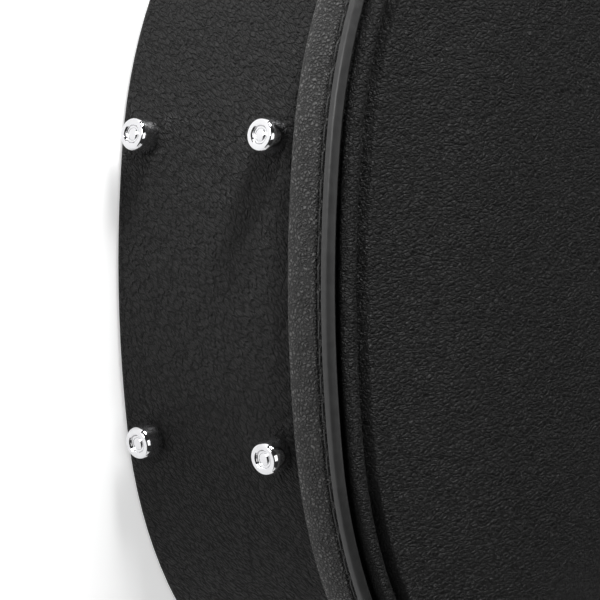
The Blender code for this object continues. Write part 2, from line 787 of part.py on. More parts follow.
def foot(name, frame, parent, finish):
    """Chrome foot: cup with a rounded shoulder, flat ring face and a tack in its recess."""
    shoulder = FOOT_RADIUS - FOOT_FACE_RADIUS
    recess = FOOT_HEIGHT - FOOT_RECESS_DEPTH
    profile = [
        (0.0, FIT),
        (FOOT_RADIUS, FIT),
        (FOOT_RADIUS, FOOT_HEIGHT - shoulder * 1.7),
        (FOOT_RADIUS - shoulder * 0.25, FOOT_HEIGHT - shoulder * 0.7),
        (FOOT_FACE_RADIUS, FOOT_HEIGHT),
        (FOOT_RECESS_RADIUS, FOOT_HEIGHT),
        (FOOT_RECESS_RADIUS * 0.96, recess),
        (FOOT_TACK_RADIUS, recess),
        (FOOT_TACK_RADIUS * 0.8, recess + FOOT_RECESS_DEPTH * 0.45),
        (0.0, recess + FOOT_RECESS_DEPTH * 0.65),
    ]
    obj = new_object(name, turned_solid(profile, FOOT_SIDES), finish, 40)
    place(obj, frame, parent)
    return obj


def feet(parent, finish):
    """Four feet on the tail and four on the hinge side."""
    heights = {"back": FOOT_FROM_BACK, "rim": BASE_DEPTH - FOOT_FROM_RIM}
    for row, z in heights.items():
        for place_name, side in (("right", LATCH_SIDE), ("left", HINGE_SIDE)):
            point, outward = wall_spot(TAIL_FOOT_HALF_SPACING, side, 1)
            foot(f"tail_foot_{place_name}_{row}", wall_frame(point, outward, z), parent, finish)
        for place_name, x in zip(("lower", "upper"), SIDE_FOOT_X):
            foot(f"side_foot_{place_name}_{row}", side_frame(x, HINGE_SIDE, z), parent, finish)


def knuckle_spans(first):
    """Spans along the hinge of every second knuckle, from the first or the second one."""
    pitch = HINGE_WIDTH / KNUCKLE_COUNT
    gap = KNUCKLE_GAP / 2
    start = -HINGE_WIDTH / 2
    return [(start + k * pitch + gap, start + (k + 1) * pitch - gap) for k in range(first, KNUCKLE_COUNT, 2)]


def hinge_leaf(name, plate, arm, first, frame, parent, finish):
    """A leaf: plate, arms and barrels, all bored for the pin."""
    half = HINGE_WIDTH / 2
    obj = new_object(name, prism(plate, -half, half), finish)
    pieces = []
    for span in knuckle_spans(first):
        pieces.append(prism(arm, *span))
        pieces.append(rod(KNUCKLE_RADIUS, span[0] + FIT / 10, span[1] - FIT / 10, sides=12))
    unite(obj, *pieces)
    cut(obj, rod(PIN_RADIUS + FIT, -half - KNUCKLE_RADIUS, half + KNUCKLE_RADIUS, sides=8))
    place(obj, frame, parent)
    return obj


def hinge(name, x, base, lid, finish):
    """Offset hinge: the base leaf on the wall, the lid leaf on the band, the pin between them."""
    start, along = hinge_line()
    outward = Vector((-along.y, along.x)) * -1
    reach = (x - start.x) / along.x
    frame = wall_frame(start + along * reach, outward, HINGE_AXIS_Z)
    wall = -HINGE_AXIS_OUT + FIT
    band = -HINGE_AXIS_OUT + BAND_PROUD + FIT
    thick = LEAF_THICKNESS
    low = BASE_DEPTH - BASE_LEAF_DROP - HINGE_AXIS_Z
    shelf = -KNUCKLE_RADIUS
    plate = [(wall, low), (wall + thick, low), (wall + thick, shelf), (wall, shelf)]
    arm_root = wall + thick * 0.4
    arm = [(arm_root, shelf - thick), (0.0, shelf - FIT), (0.0, shelf + thick), (arm_root, shelf - FIT)]
    hinge_leaf(f"{name}_base_leaf", plate, arm, 0, frame, base, finish)
    high = LID_LEAF_TOP
    foot_z = KNUCKLE_RADIUS + FIT * 2
    plate = [(band, foot_z), (band + thick, foot_z), (band + thick, high), (band, high)]
    arm = [
        (band + thick * 0.4, foot_z + FIT),
        (0.0, -thick),
        (0.0, thick * 1.5),
        (band + thick * 0.6, foot_z + thick * 2),
    ]
    hinge_leaf(f"{name}_lid_leaf", plate, arm, 1, frame, lid, finish)
    end = HINGE_WIDTH / 2 + FIT
    pin = new_object(f"{name}_pin", rod(PIN_RADIUS, -end - FIT, end + FIT), finish, 40)
    heads = [rod(PIN_RADIUS * 1.6, side * end, side * (end + PIN_RADIUS * 0.7)) for side in (-1, 1)]
    unite(pin, *heads)
    place(pin, frame, base)


def latch_plate(name, frame, parent, finish):
    """Base plate of a latch with two ears and the lever's pin."""
    plate = [
        (FIT, LATCH_PLATE_BOTTOM),
        (FIT + LATCH_PLATE_THICKNESS, LATCH_PLATE_BOTTOM),
        (FIT + LATCH_PLATE_THICKNESS, LATCH_PLATE_TOP),
        (FIT, LATCH_PLATE_TOP),
    ]
    obj = new_object(name, prism(plate, -LATCH_PLATE_HALF, LATCH_PLATE_HALF), finish)
    round_edges(obj, LATCH_PLATE_THICKNESS * 0.4, 80)
    axis = (LEVER_AXIS_OUT, LEVER_AXIS_Z)
    root = FIT + LATCH_PLATE_THICKNESS / 2
    crest = arc(axis, EAR_RADIUS, -50, 90, 6)
    ear = [(root, LEVER_AXIS_Z - EAR_DROP), *crest, (root, LEVER_AXIS_Z + EAR_RADIUS * 1.6)]
    inner = LEVER_HALF + FIT
    pieces = [prism(ear, side * inner, side * (inner + EAR_THICKNESS)) for side in (-1, 1)]
    end = inner + EAR_THICKNESS * 1.5
    unite(obj, *pieces, rod(LEVER_PIN_RADIUS, -end, end, axis))
    place(obj, frame, parent)
    return obj


def latch_lever(name, frame, parent, finish, lock):
    """Lever: outer shell, two cheeks on the pivot and the hook's pin between them."""
    back = LEVER_SHELL_OUT
    front = back + LEVER_THICKNESS
    shell = [
        (back, LEVER_TOP_Z),
        (back, LEVER_BOTTOM_Z + LEVER_FLARE_HEIGHT),
        (back + LEVER_FLARE, LEVER_BOTTOM_Z),
        (front + LEVER_FLARE, LEVER_BOTTOM_Z),
        (front, LEVER_BOTTOM_Z + LEVER_FLARE_HEIGHT),
        (front, LEVER_TOP_Z),
    ]
    obj = new_object(name, prism(shell, -LEVER_HALF, LEVER_HALF), finish)
    axis = (LEVER_AXIS_OUT, LEVER_AXIS_Z)
    low = (LEVER_TOP_Z + LEVER_BOTTOM_Z) / 2
    cheek = [
        (back + LEVER_THICKNESS / 2, low),
        (back + LEVER_THICKNESS / 2, HOOK_AXIS_Z + HOOK_PIN_RADIUS * 1.5),
        *arc(axis, EAR_RADIUS * 0.9, 40, 230, 8),
    ]
    cheeks = [prism(cheek, side * (LEVER_HALF - EAR_THICKNESS), side * LEVER_HALF) for side in (-1, 1)]
    end = LEVER_HALF - EAR_THICKNESS / 2
    unite(obj, *cheeks, rod(HOOK_PIN_RADIUS, -end, end, (HOOK_AXIS_OUT, HOOK_AXIS_Z)))
    holes = [rod(LEVER_PIN_RADIUS + FIT, -THROUGH, THROUGH, axis)]
    if lock:
        radius = LOCK_RADIUS + FIT
        hole = turned_solid([(0.0, 0.0), (radius, 0.0), (radius, THROUGH), (0.0, THROUGH)], LOCK_SIDES)
        bmesh.ops.translate(hole, verts=hole.verts, vec=(0.0, 0.0, LOCK_Z))
        holes.append(hole)
    cut(obj, *holes)
    on_axis(obj, frame, axis, parent)
    return obj


def on_axis(obj, frame, axis, parent):
    """Move an object's origin to an axis point (out, z) of its wall frame and place it there."""
    offset = Matrix.Translation((0.0, axis[0], axis[1]))
    obj.data.transform(offset.inverted())
    for child in bpy.data.objects:
        if child.parent == obj:
            child.data.transform(offset.inverted())
    place(obj, frame @ offset, parent)


def latch_hook(name, frame, parent, finish):
    """Hook tongue: eye on the lever's pin, strap and the tip that reaches over the keeper."""
    axis = (HOOK_AXIS_OUT, HOOK_AXIS_Z)
    back = HOOK_AXIS_OUT - HOOK_THICKNESS / 2
    front = HOOK_AXIS_OUT + HOOK_THICKNESS / 2
    tip_low = KEEPER_LEDGE_Z + FIT
    tip_high = tip_low + HOOK_THICKNESS * 1.2
    tip_in = BAND_PROUD + KEEPER_THICKNESS + FIT * 3
    strap = [
        (back, HOOK_AXIS_Z + HOOK_EYE_RADIUS * 0.8),
        (front, HOOK_AXIS_Z + HOOK_EYE_RADIUS * 0.8),
        (front, tip_high - HOOK_THICKNESS * 0.5),
        (front - HOOK_THICKNESS * 0.5, tip_high),
        (tip_in, tip_high),
        (tip_in, tip_low),
        (back, tip_low),
    ]
    obj = new_object(name, prism(strap, -HOOK_HALF, HOOK_HALF), finish)
    unite(obj, rod(HOOK_EYE_RADIUS, -HOOK_HALF - FIT, HOOK_HALF + FIT, axis, 14))
    cut(obj, rod(HOOK_PIN_RADIUS + FIT, -THROUGH, THROUGH, axis))
    on_axis(obj, frame, axis, parent)
    return obj


def latch_keeper(name, frame, parent, finish):
    """Keeper on the lid's band, with the ledge that the hook holds down."""
    back = BAND_PROUD + FIT
    front = back + KEEPER_THICKNESS
    points = [
        (back, KEEPER_BOTTOM_Z),
        (front, KEEPER_BOTTOM_Z),
        (front, KEEPER_LEDGE_Z - KEEPER_THICKNESS * 1.6),
        (front + KEEPER_LEDGE_REACH, KEEPER_LEDGE_Z - KEEPER_THICKNESS),
        (front + KEEPER_LEDGE_REACH, KEEPER_LEDGE_Z),
        (front, KEEPER_LEDGE_Z),
        (front, KEEPER_TOP_Z),
        (back, KEEPER_TOP_Z),
    ]
    obj = new_object(name, prism(points, -KEEPER_HALF, KEEPER_HALF), finish)
    place(obj, frame, parent)
    return obj


def lock_cylinder(frame, parent, finish):
    """Key cylinder that turns in the lever's shell, its keyway cut as a slot."""
    inner = LEVER_SHELL_OUT - LOCK_HEIGHT * 0.5
    outer = LEVER_SHELL_OUT + LEVER_THICKNESS + LOCK_HEIGHT * 0.5
    profile = [
        (0.0, inner),
        (LOCK_RADIUS, inner),
        (LOCK_RADIUS, outer - LOCK_HEIGHT * 0.2),
        (LOCK_RADIUS * 0.9, outer),
        (0.0, outer),
    ]
    obj = new_object("lock_cylinder", turned_solid(profile, LOCK_SIDES), finish, 40)
    slot_half = LOCK_RADIUS * 0.12
    deep = outer - LOCK_HEIGHT * 0.7
    tall = LOCK_RADIUS * 0.6
    slot = [(deep, -tall), (outer * 2, -tall), (outer * 2, tall), (deep, tall)]
    cut(obj, prism(slot, -slot_half, slot_half))
    place(obj, frame @ Matrix.Translation((0.0, 0.0, LOCK_Z)), parent)
    return obj


def latch(number, x, root, lid_axis, finish):
    """One draw latch, closed, with its keeper on the lid."""
    name = f"latch_{number + 1}"
    frame = side_frame(x, LATCH_SIDE)
    latch_plate(f"{name}_plate", frame, root, finish)
    latch_keeper(f"{name}_keeper", frame, lid_axis, finish)
    lever = latch_lever(f"{name}_lever", frame, root, finish, number == LOCKED_LATCH)
    latch_hook(f"{name}_hook", frame, lever, finish)
    if number == LOCKED_LATCH:
        lock_cylinder(frame, lever, finish)


def handle_bracket(name, shift, frame, parent, finish):
    """Plate with two ears and the pin that a handle loop swings on."""
    low = HANDLE_AXIS_Z - BRACKET_HALF_HEIGHT
    high = HANDLE_AXIS_Z + BRACKET_HALF_HEIGHT
    plate = [(FIT, low), (FIT + BRACKET_THICKNESS, low), (FIT + BRACKET_THICKNESS, high), (FIT, high)]
    obj = new_object(name, prism(plate, shift - BRACKET_HALF_WIDTH, shift + BRACKET_HALF_WIDTH), finish)
    round_edges(obj, BRACKET_THICKNESS * 0.4, 80)
    axis = (HANDLE_AXIS_OUT, HANDLE_AXIS_Z)
    root = FIT + BRACKET_THICKNESS / 2
    radius = BRACKET_PIN_RADIUS * 1.8
    crest = arc(axis, radius, -60, 60, 5)
    ear = [(root, HANDLE_AXIS_Z - radius * 1.8), *crest, (root, HANDLE_AXIS_Z + radius * 1.8)]
    inner = LOOP_THICKNESS / 2 + FIT
    outer = inner + BRACKET_EAR_THICKNESS
    pieces = [prism(ear, shift + side * inner, shift + side * outer) for side in (-1, 1)]
    unite(obj, *pieces, rod(BRACKET_PIN_RADIUS, shift - outer - FIT, shift + outer + FIT, axis, 14))
    place(obj, frame, parent)
    return obj


def grip_section(share):
    """Loop of (out, z) points of the grip, as a share of its full section."""
    centre = (HANDLE_GRIP_OUT, HANDLE_AXIS_Z - HANDLE_DROP)
    points = []
    for k in range(GRIP_SIDES):
        angle = 2 * math.pi * k / GRIP_SIDES
        y = centre[0] + GRIP_HALF_THICKNESS * share * math.cos(angle)
        z = centre[1] + GRIP_HALF_HEIGHT * share * math.sin(angle)
        points.append((y, z))
    return points


def handle_grip(frame, parent, finish):
    """Moulded grip, fuller in the middle than at its ends."""
    end = HANDLE_PIVOT_SPACING / 2 - LOOP_THICKNESS / 2 - FIT
    bm = bmesh.new()
    rings = []
    for k in range(GRIP_STATIONS + 1):
        t = -1 + 2 * k / GRIP_STATIONS
        share = GRIP_END_SHARE + (1 - GRIP_END_SHARE) * math.cos(t * math.pi / 2) ** 0.7
        rings.append([bm.verts.new((t * end, y, z)) for y, z in grip_section(share)])
    for a, b in zip(rings, rings[1:]):
        join_rings(bm, a, b)
    bm.faces.new(rings[0])
    bm.faces.new(rings[-1])
    obj = new_object("handle_grip", bm, finish, 40)
    on_axis(obj, frame, (HANDLE_AXIS_OUT, HANDLE_AXIS_Z), parent)
    return obj


def handle_loop(name, shift, frame, parent, finish):
    """Metal end loop: eye on the bracket's pin, arm and the cap over the grip's end."""
    half = LOOP_THICKNESS / 2
    centre = (HANDLE_GRIP_OUT, HANDLE_AXIS_Z - HANDLE_DROP)
    axis = (HANDLE_AXIS_OUT, HANDLE_AXIS_Z)
    eye = arc(axis, LOOP_EYE_RADIUS, 10, 190, 8)
    cap_radius = GRIP_HALF_THICKNESS * GRIP_END_SHARE + LOOP_CAP_WALL
    foot_arc = arc(centre, cap_radius, 170, 370, 8)
    obj = new_object(name, prism([*eye, *foot_arc], shift - half, shift + half), finish, 40)
    cut(obj, rod(BRACKET_PIN_RADIUS + FIT, shift - half * 3, shift + half * 3, axis, 14))
    on_axis(obj, frame, axis, parent)
    return obj


def handle(root, metal, grip):
    """Handle that hangs down against the wall."""
    frame = side_frame(waist_middle(), LATCH_SIDE)
    axis = frame @ Matrix.Translation((0.0, HANDLE_AXIS_OUT, HANDLE_AXIS_Z))
    pivot = empty("handle_axis", axis, root)
    half = HANDLE_PIVOT_SPACING / 2
    for name, shift in (("front", half), ("rear", -half)):
        handle_bracket(f"handle_bracket_{name}", shift, frame, root, metal)
        handle_loop(f"handle_loop_{name}", shift, frame, pivot, metal)
    handle_grip(frame, pivot, grip)


def centre_on_back(root):
    """Move the case so that the origin lies under the middle of its box."""
    bpy.context.view_layer.update()
    depsgraph = bpy.context.evaluated_depsgraph_get()
    corners = []
    for obj in bpy.context.scene.objects:
        if obj.type == "MESH" and not obj.hide_render:
            seen = obj.evaluated_get(depsgraph)
            corners += [seen.matrix_world @ vertex.co for vertex in seen.data.vertices]
    middle_x = (min(c.x for c in corners) + max(c.x for c in corners)) / 2
    middle_y = (min(c.y for c in corners) + max(c.y for c in corners)) / 2
    root.location = (-middle_x, -middle_y, 0.0)
    bpy.context.view_layer.update()


def main():
    """Build the case."""
    clear_scene()
    finish = make_materials()
    root = empty("case", Matrix.Identity(4))
    start, _ = hinge_line()
    lid_axis = empty("lid_axis", Matrix.Translation((start.x, start.y, HINGE_AXIS_Z)), root)
    base_pieces = [
        *base_walls(finish["cover"]),
        base_back_panel(finish["cover"]),
        *locating_lips(finish["lip"]),
        base_floor_pad(finish["plush"]),
        *side_pads(finish["plush"]),
        neck_rest(finish["plush"]),
        pocket_wall("pocket_wall_neck_side", POCKET_WALL_X[0], finish["plush"]),
        pocket_wall("pocket_wall_head_side", POCKET_WALL_X[1], finish["plush"]),
    ]
    lid_pieces = [
        lid_side_wall(finish["cover"]),
        lid_edge_band(finish["band"]),
        lid_edge_bead(finish["bead"]),
        lid_top_panel(finish["cover"]),
        lid_pad(finish["plush"]),
    ]
    for obj in base_pieces:
        place(obj, obj.matrix_basis.copy(), root)
    for obj in lid_pieces:
        place(obj, obj.matrix_basis.copy(), lid_axis)
    feet(root, finish["chrome"])
    for name, x in zip(("hinge_lower", "hinge_upper"), HINGE_X):
        hinge(name, x, root, lid_axis, finish["chrome"])
    for number, x in enumerate((*LATCH_X, HEAD_LATCH_FROM_END - CASE_LENGTH)):
        latch(number, x, root, lid_axis, finish["chrome"])
    handle(root, finish["chrome"], finish["grip"])
    centre_on_back(root)


main()
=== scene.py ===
"""Looks of a shaped hardshell case for a bass guitar: leatherette, stitching, chrome and plush.

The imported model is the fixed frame, and each class below dresses one sub-assembly of it. All sizes
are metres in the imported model's own coordinates: +X points to the tail, -X to the head end, +Z to
the lid, +Y to the hinges and -Y to the handle and the latches.
"""

import logging
import math
from dataclasses import dataclass, field, replace
from enum import Enum

import bmesh
import bpy
import numpy as np
from mathutils import Matrix, Vector, noise


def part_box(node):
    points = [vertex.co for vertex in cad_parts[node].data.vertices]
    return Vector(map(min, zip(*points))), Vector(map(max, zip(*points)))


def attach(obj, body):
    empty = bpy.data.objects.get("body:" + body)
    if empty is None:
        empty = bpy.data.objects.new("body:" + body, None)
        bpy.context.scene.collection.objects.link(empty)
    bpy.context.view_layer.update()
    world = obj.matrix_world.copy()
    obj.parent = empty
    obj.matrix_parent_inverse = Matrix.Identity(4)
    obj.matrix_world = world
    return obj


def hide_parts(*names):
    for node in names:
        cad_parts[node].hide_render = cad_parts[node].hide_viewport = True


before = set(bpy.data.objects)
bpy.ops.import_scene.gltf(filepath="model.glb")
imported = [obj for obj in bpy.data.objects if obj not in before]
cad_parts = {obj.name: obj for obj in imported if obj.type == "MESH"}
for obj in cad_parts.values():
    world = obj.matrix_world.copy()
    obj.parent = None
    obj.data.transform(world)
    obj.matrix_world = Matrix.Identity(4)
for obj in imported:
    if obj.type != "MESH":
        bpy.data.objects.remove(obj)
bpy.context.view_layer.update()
LOG = logging.getLogger("case")

GRAIN_MAP = "grain"  # UV map in metres
FACING = "facing"  # attribute with a fastener's direction
FIT = 0.0003  # gap between pieces that meet
MERGE = 1e-6  # distance below which vertices are one
LID_WALL_TOP = 0.1173
LINER_INSET = 0.0053
WHITE = (1.0, 1.0, 1.0, 1.0)

Point = tuple[float, float]
Profile = list[Point]
Ring = list[bmesh.types.BMVert]
Socket = bpy.types.NodeSocket
Material = bpy.types.Material
Piece = bpy.types.Object


class Slot(Enum):
    """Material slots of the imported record."""

    COVER = "cover"
    BAND = "band"
    BEAD = "bead"
    PLUSH = "plush"
    GRIP = "grip"
    CHROME = "chrome"


class Side(Enum):
    """The two long sides of the case, as the sign of Y."""

    HINGES = 1
    LATCHES = -1


# ---- Node trees


class NodeMaker:
    """Short calls that add and link nodes in one node tree."""

    def __init__(self, tree: bpy.types.NodeTree) -> None:
        """Keep the tree.

        Args:
            tree: Node tree that the calls work in.
        """
        self.nodes = tree.nodes
        self.links = tree.links

    def feed(self, inlet: Socket, value: object) -> None:
        """Give an input its value.

        Args:
            inlet: The input.
            value: A plain value, or a socket that is linked.
        """
        if isinstance(value, Socket):
            self.links.new(value, inlet)
        else:
            inlet.default_value = value

    def add(self, kind: str, inputs: dict | None = None, **settings: object) -> bpy.types.Node:
        """Add a node.

        Args:
            kind: Blender's type name of the node.
            inputs: Socket name or number to a value, or to a socket that is linked.
            **settings: Properties of the node.

        Returns:
            The new node.
        """
        node = self.nodes.new(kind)
        for key, value in settings.items():
            setattr(node, key, value)
        for key, value in (inputs or {}).items():
            self.feed(node.inputs[key], value)
        return node


def shade(colour: tuple, factor: float) -> tuple:
    """A colour made lighter or darker, with alpha."""
    return (*(min(1.0, channel * factor) for channel in colour), 1.0)


class ShaderTree(NodeMaker):
    """A material with short calls for the nodes that the finishes share."""

    def __init__(self, name: str) -> None:
        """Start an empty node material.

        Args:
            name: Name of the material.
        """
        self.material = bpy.data.materials.new(name)
        self.material.use_nodes = True
        super().__init__(self.material.node_tree)
        self.shader = self.nodes["Principled BSDF"]

    def math(self, operation: str, a: object, b: object) -> Socket:
        """Result of one Math node."""
        return self.add("ShaderNodeMath", {0: a, 1: b}, operation=operation).outputs[0]

    def ramp(self, value: object, low: float, high: float, to_low: float = 0.0, to_high: float = 1.0) -> Socket:
        """A value moved smoothly from one range to another."""
        inputs = {"Value": value, 1: low, 2: high, 3: to_low, 4: to_high}
        return self.add("ShaderNodeMapRange", inputs, interpolation_type="SMOOTHSTEP").outputs[0]

    def blend(self, share: object, a: object, b: object, mode: str = "MIX") -> Socket:
        """A colour between two colours, or what another blend mode makes of them."""
        inputs = {0: share, 6: a, 7: b}
        return self.add("ShaderNodeMix", inputs, data_type="RGBA", blend_type=mode).outputs[2]

    def tones(self, share: object, colour: tuple, dark: float, light: float) -> Socket:
        """A colour between two shades of one colour."""
        return self.blend(share, shade(colour, dark), shade(colour, light))

    def points(self, scale: tuple = (1.0,) * 3, turn: tuple = (0.0,) * 3, on_map: bool = False) -> Socket:
        """Coordinates of a pattern.

        Args:
            scale: Pattern units in a metre.
            turn: Angles that the coordinates are turned by before they are scaled.
            on_map: True for the piece's own UV map in metres, False for object coordinates.

        Returns:
            The coordinates.
        """
        if on_map:
            source = self.add("ShaderNodeUVMap", uv_map=GRAIN_MAP).outputs["UV"]
        else:
            source = self.add("ShaderNodeTexCoord").outputs["Object"]
        turned = self.add("ShaderNodeMapping", {"Vector": source, "Rotation": turn}).outputs[0]
        return self.add("ShaderNodeMapping", {"Vector": turned, "Scale": scale}).outputs[0]

    def warped(self, points: Socket, amount: float, scale: float) -> Socket:
        """Coordinates pushed about by noise, so that cells aren't regular.

        Args:
            points: The coordinates.
            amount: Largest push, in pattern units.
            scale: Scale of the noise.

        Returns:
            The pushed coordinates.
        """
        wander = self.add("ShaderNodeTexNoise", {"Vector": points, "Scale": scale, "Detail": 2.0}).outputs["Color"]
        centred = self.add("ShaderNodeVectorMath", {0: wander, 1: (0.5,) * 3}, operation="SUBTRACT").outputs[0]
        push = self.add("ShaderNodeVectorMath", {0: centred, "Scale": amount}, operation="SCALE").outputs[0]
        return self.add("ShaderNodeVectorMath", {0: points, 1: push}, operation="ADD").outputs[0]

    def cells(self, points: Socket, feature: str, scale: float = 1.0, output: str = "Distance") -> Socket:
        """Distance or cell colour of a Voronoi pattern, with one cell for each pattern unit at scale 1."""
        return self.add("ShaderNodeTexVoronoi", {"Vector": points, "Scale": scale}, feature=feature).outputs[output]

    def grain(self, points: Socket, scale: float, detail: float = 3.0) -> Socket:
        """Noise from 0 to 1."""
        return self.add("ShaderNodeTexNoise", {"Vector": points, "Scale": scale, "Detail": detail}).outputs[0]

    def bump(self, height: Socket, depth: float, strength: float, under: Socket | None = None) -> Socket:
        """A normal raised by a height, over another normal if one is given."""
        inputs = {"Height": height, "Distance": depth, "Strength": strength}
        return self.add("ShaderNodeBump", inputs | ({} if under is None else {"Normal": under})).outputs[0]


# ---- Finishes


@dataclass(frozen=True)
class Finish:
    """A procedural material of one base colour."""

    name: str
    colour: tuple

    def sockets(self, tree: ShaderTree) -> dict[str, object]:
        """Values and links of the shader's sockets, by name."""
        raise NotImplementedError

    def material(self) -> Material:
        """Build the material.

        Returns:
            The material.
        """
        tree = ShaderTree(self.name)
        for key, value in self.sockets(tree).items():
            tree.feed(tree.shader.inputs[key], value)
        tree.material.diffuse_color = (*self.colour, 1.0)
        return tree.material


@dataclass(frozen=True)
class Leatherette(Finish):
    """Embossed vinyl: irregular pebbles, each of its own tone, between creases darkened with painted shade.

    cell is the mean pebble in metres, along the grain and across it, and turn is the grain's
    direction. crease is the share of a pebble that its crease takes, depth the emboss in metres,
    dome how far a pebble bulges and fold how deep its finer wrinkles are, both as shares of depth.
    dark is the painted shade of a crease, its colour darkened for the shade that falls in it, spread how far the
    pebbles' tones differ and wander how far the creases stray from the grain's direction. pressed gives the two
    heights between which the emboss comes up to its full depth, for a strip with a pressed edge. swell is the scale
    of the wide unevenness under the grain.
    """

    cell: tuple
    turn: float = 0.0
    crease: float = 0.17
    depth: float = 0.00055
    dome: float = 0.15
    fold: float = 0.35
    dark: float = 0.45
    spread: float = 0.16
    wander: float = 1.15
    roughness: float = 0.42
    crease_roughness: float = 0.22
    specular: float = 0.25
    pressed: tuple | None = None
    on_map: bool = True
    wrinkles: float = 2.3
    swell: float = 42.0
    swell_depth: float = 0.0030

    def sockets(self, tree: ShaderTree) -> dict[str, object]:
        """Grain from two scales of cells, in colour, gloss and relief.

        Args:
            tree: Tree of the material.

        Returns:
            Values and links of the shader's sockets.
        """
        along, across = self.cell
        metres = tree.points(on_map=self.on_map)
        points = tree.points((1 / along, 1 / across, 1 / across), (0.0, 0.0, self.turn), self.on_map)
        warped = tree.warped(points, self.wander, 0.8)
        flat = tree.ramp(tree.cells(warped, "DISTANCE_TO_EDGE"), 0.0, self.crease)
        dome = tree.ramp(tree.cells(warped, "F1"), 0.05, 0.75, self.dome, 0.0)
        fold = tree.ramp(tree.cells(warped, "DISTANCE_TO_EDGE", self.wrinkles), 0.0, 0.16, 0.0, self.fold)
        dust = tree.math("MULTIPLY", tree.grain(warped, 4.5), 0.20)
        deep = tree.ramp(tree.grain(metres, 120.0, 2.0), 0.36, 0.64, 0.55, 1.0)
        if self.pressed:
            level = tree.add("ShaderNodeSeparateXYZ", {0: tree.points()}).outputs[2]
            deep = tree.math("MULTIPLY", deep, tree.ramp(level, *self.pressed, 0.25, 1.0))
        height = tree.math("ADD", tree.math("ADD", flat, dome), tree.math("ADD", fold, dust))
        wide = tree.grain(metres, self.swell)
        under = tree.bump(wide, self.swell_depth, 0.15)
        own = tree.ramp(tree.cells(warped, "F1", output="Color"), 0.15, 0.85)
        tone = tree.tones(own, self.colour, 1 - self.spread, 1 + self.spread)
        worn = tree.tones(tree.ramp(wide, 0.3, 0.7), WHITE[:3], 0.90, 1.0)
        tone = tree.blend(1.0, tone, worn, "MULTIPLY")
        gloss = tree.ramp(flat, 0.0, 1.0, self.roughness + self.crease_roughness, self.roughness)
        return {
            # painted shade: the creases are darkened in colour, over each pebble's own tone
            "Base Color": tree.blend(flat, shade(self.colour, self.dark), tone),
            "Roughness": tree.math("ADD", gloss, dust),
            "Specular IOR Level": self.specular,
            "Normal": tree.bump(tree.math("MULTIPLY", height, deep), self.depth, 1.0, under),
        }


@dataclass(frozen=True)
class SmoothVinyl(Finish):
    """Plain extruded or folded vinyl with a faint mottle and a few fine scuffs."""

    roughness: float = 0.42
    specular: float = 0.45
    mottle: float = 260.0

    def sockets(self, tree: ShaderTree) -> dict[str, object]:
        """Mottle, dust and scuffs.

        Args:
            tree: Tree of the material.

        Returns:
            Values and links of the shader's sockets.
        """
        points = tree.points()
        cloud = tree.grain(points, self.mottle, 4.0)
        dust = tree.grain(points, 2600.0, 2.0)
        scuff = tree.ramp(tree.grain(points, 900.0, 5.0), 0.62, 0.72)
        tone = tree.tones(tree.ramp(cloud, 0.3, 0.7), self.colour, 0.88, 1.12)
        rough = tree.math("ADD", tree.math("MULTIPLY", cloud, 0.12), self.roughness - 0.06)
        return {
            "Base Color": tree.blend(tree.math("MULTIPLY", scuff, 0.30), tone, shade(self.colour, 2.2)),
            "Roughness": tree.math("ADD", rough, tree.math("MULTIPLY", scuff, 0.12)),
            "Specular IOR Level": self.specular,
            "Normal": tree.bump(dust, 0.00006, 0.35, tree.bump(cloud, 0.0009, 0.20)),
        }


@dataclass(frozen=True)
class Plating(Finish):
    """Polished plate over pressed or cast metal, with fine polishing marks."""

    colour: tuple = (0.74, 0.74, 0.755)
    roughness: float = 0.055
    haze: float = 0.08

    def sockets(self, tree: ShaderTree) -> dict[str, object]:
        """Haze in soft patches, and marks that run one way.

        Args:
            tree: Tree of the material.

        Returns:
            Values and links of the shader's sockets.
        """
        cloud = tree.grain(tree.points(), 420.0)
        stretched = tree.points((5200.0, 420.0, 5200.0), (0.4, 0.2, 0.7))
        marks = tree.ramp(tree.grain(stretched, 1.0, 2.0), 0.60, 0.72)
        rough = tree.math("MULTIPLY", tree.ramp(cloud, 0.35, 0.75), self.haze)
        rough = tree.math("ADD", rough, self.roughness)
        return {
            "Base Color": tree.tones(cloud, self.colour, 0.95, 1.03),
            "Metallic": 1.0,
            "Roughness": tree.math("ADD", rough, tree.math("MULTIPLY", marks, 0.05)),
            "Normal": tree.bump(cloud, 0.00005, 0.20),
        }


@dataclass(frozen=True)
class Plush(Finish):
    """Short pile lining: tufts that lie in soft patches."""

    tuft: float = 0.0007

    def sockets(self, tree: ShaderTree) -> dict[str, object]:
        """Tufts, and patches where the pile lies one way.

        Args:
            tree: Tree of the material.

        Returns:
            Values and links of the shader's sockets.
        """
        points = tree.points()
        pile = tree.grain(points, 0.55 / self.tuft, 4.0)
        tufts = tree.cells(tree.warped(tree.points((1 / self.tuft,) * 3), 0.9, 1.1), "F1")
        brushed = tree.grain(points, 38.0)
        tone = tree.tones(tree.ramp(brushed, 0.35, 0.68), self.colour, 0.70, 1.35)
        lower = tree.bump(brushed, 0.006, 0.25)
        return {
            # painted shade: the colour darkens where the pile is low, between the tufts
            "Base Color": tree.blend(tree.ramp(pile, 0.30, 0.75), shade(self.colour, 0.55), tone),
            "Roughness": tree.ramp(pile, 0.2, 0.8, 0.96, 0.84),
            "Specular IOR Level": 0.15,
            "Sheen Weight": 0.35,
            "Sheen Roughness": 0.45,
            "Normal": tree.bump(tree.math("SUBTRACT", pile, tufts), 0.0005, 0.75, lower),
        }


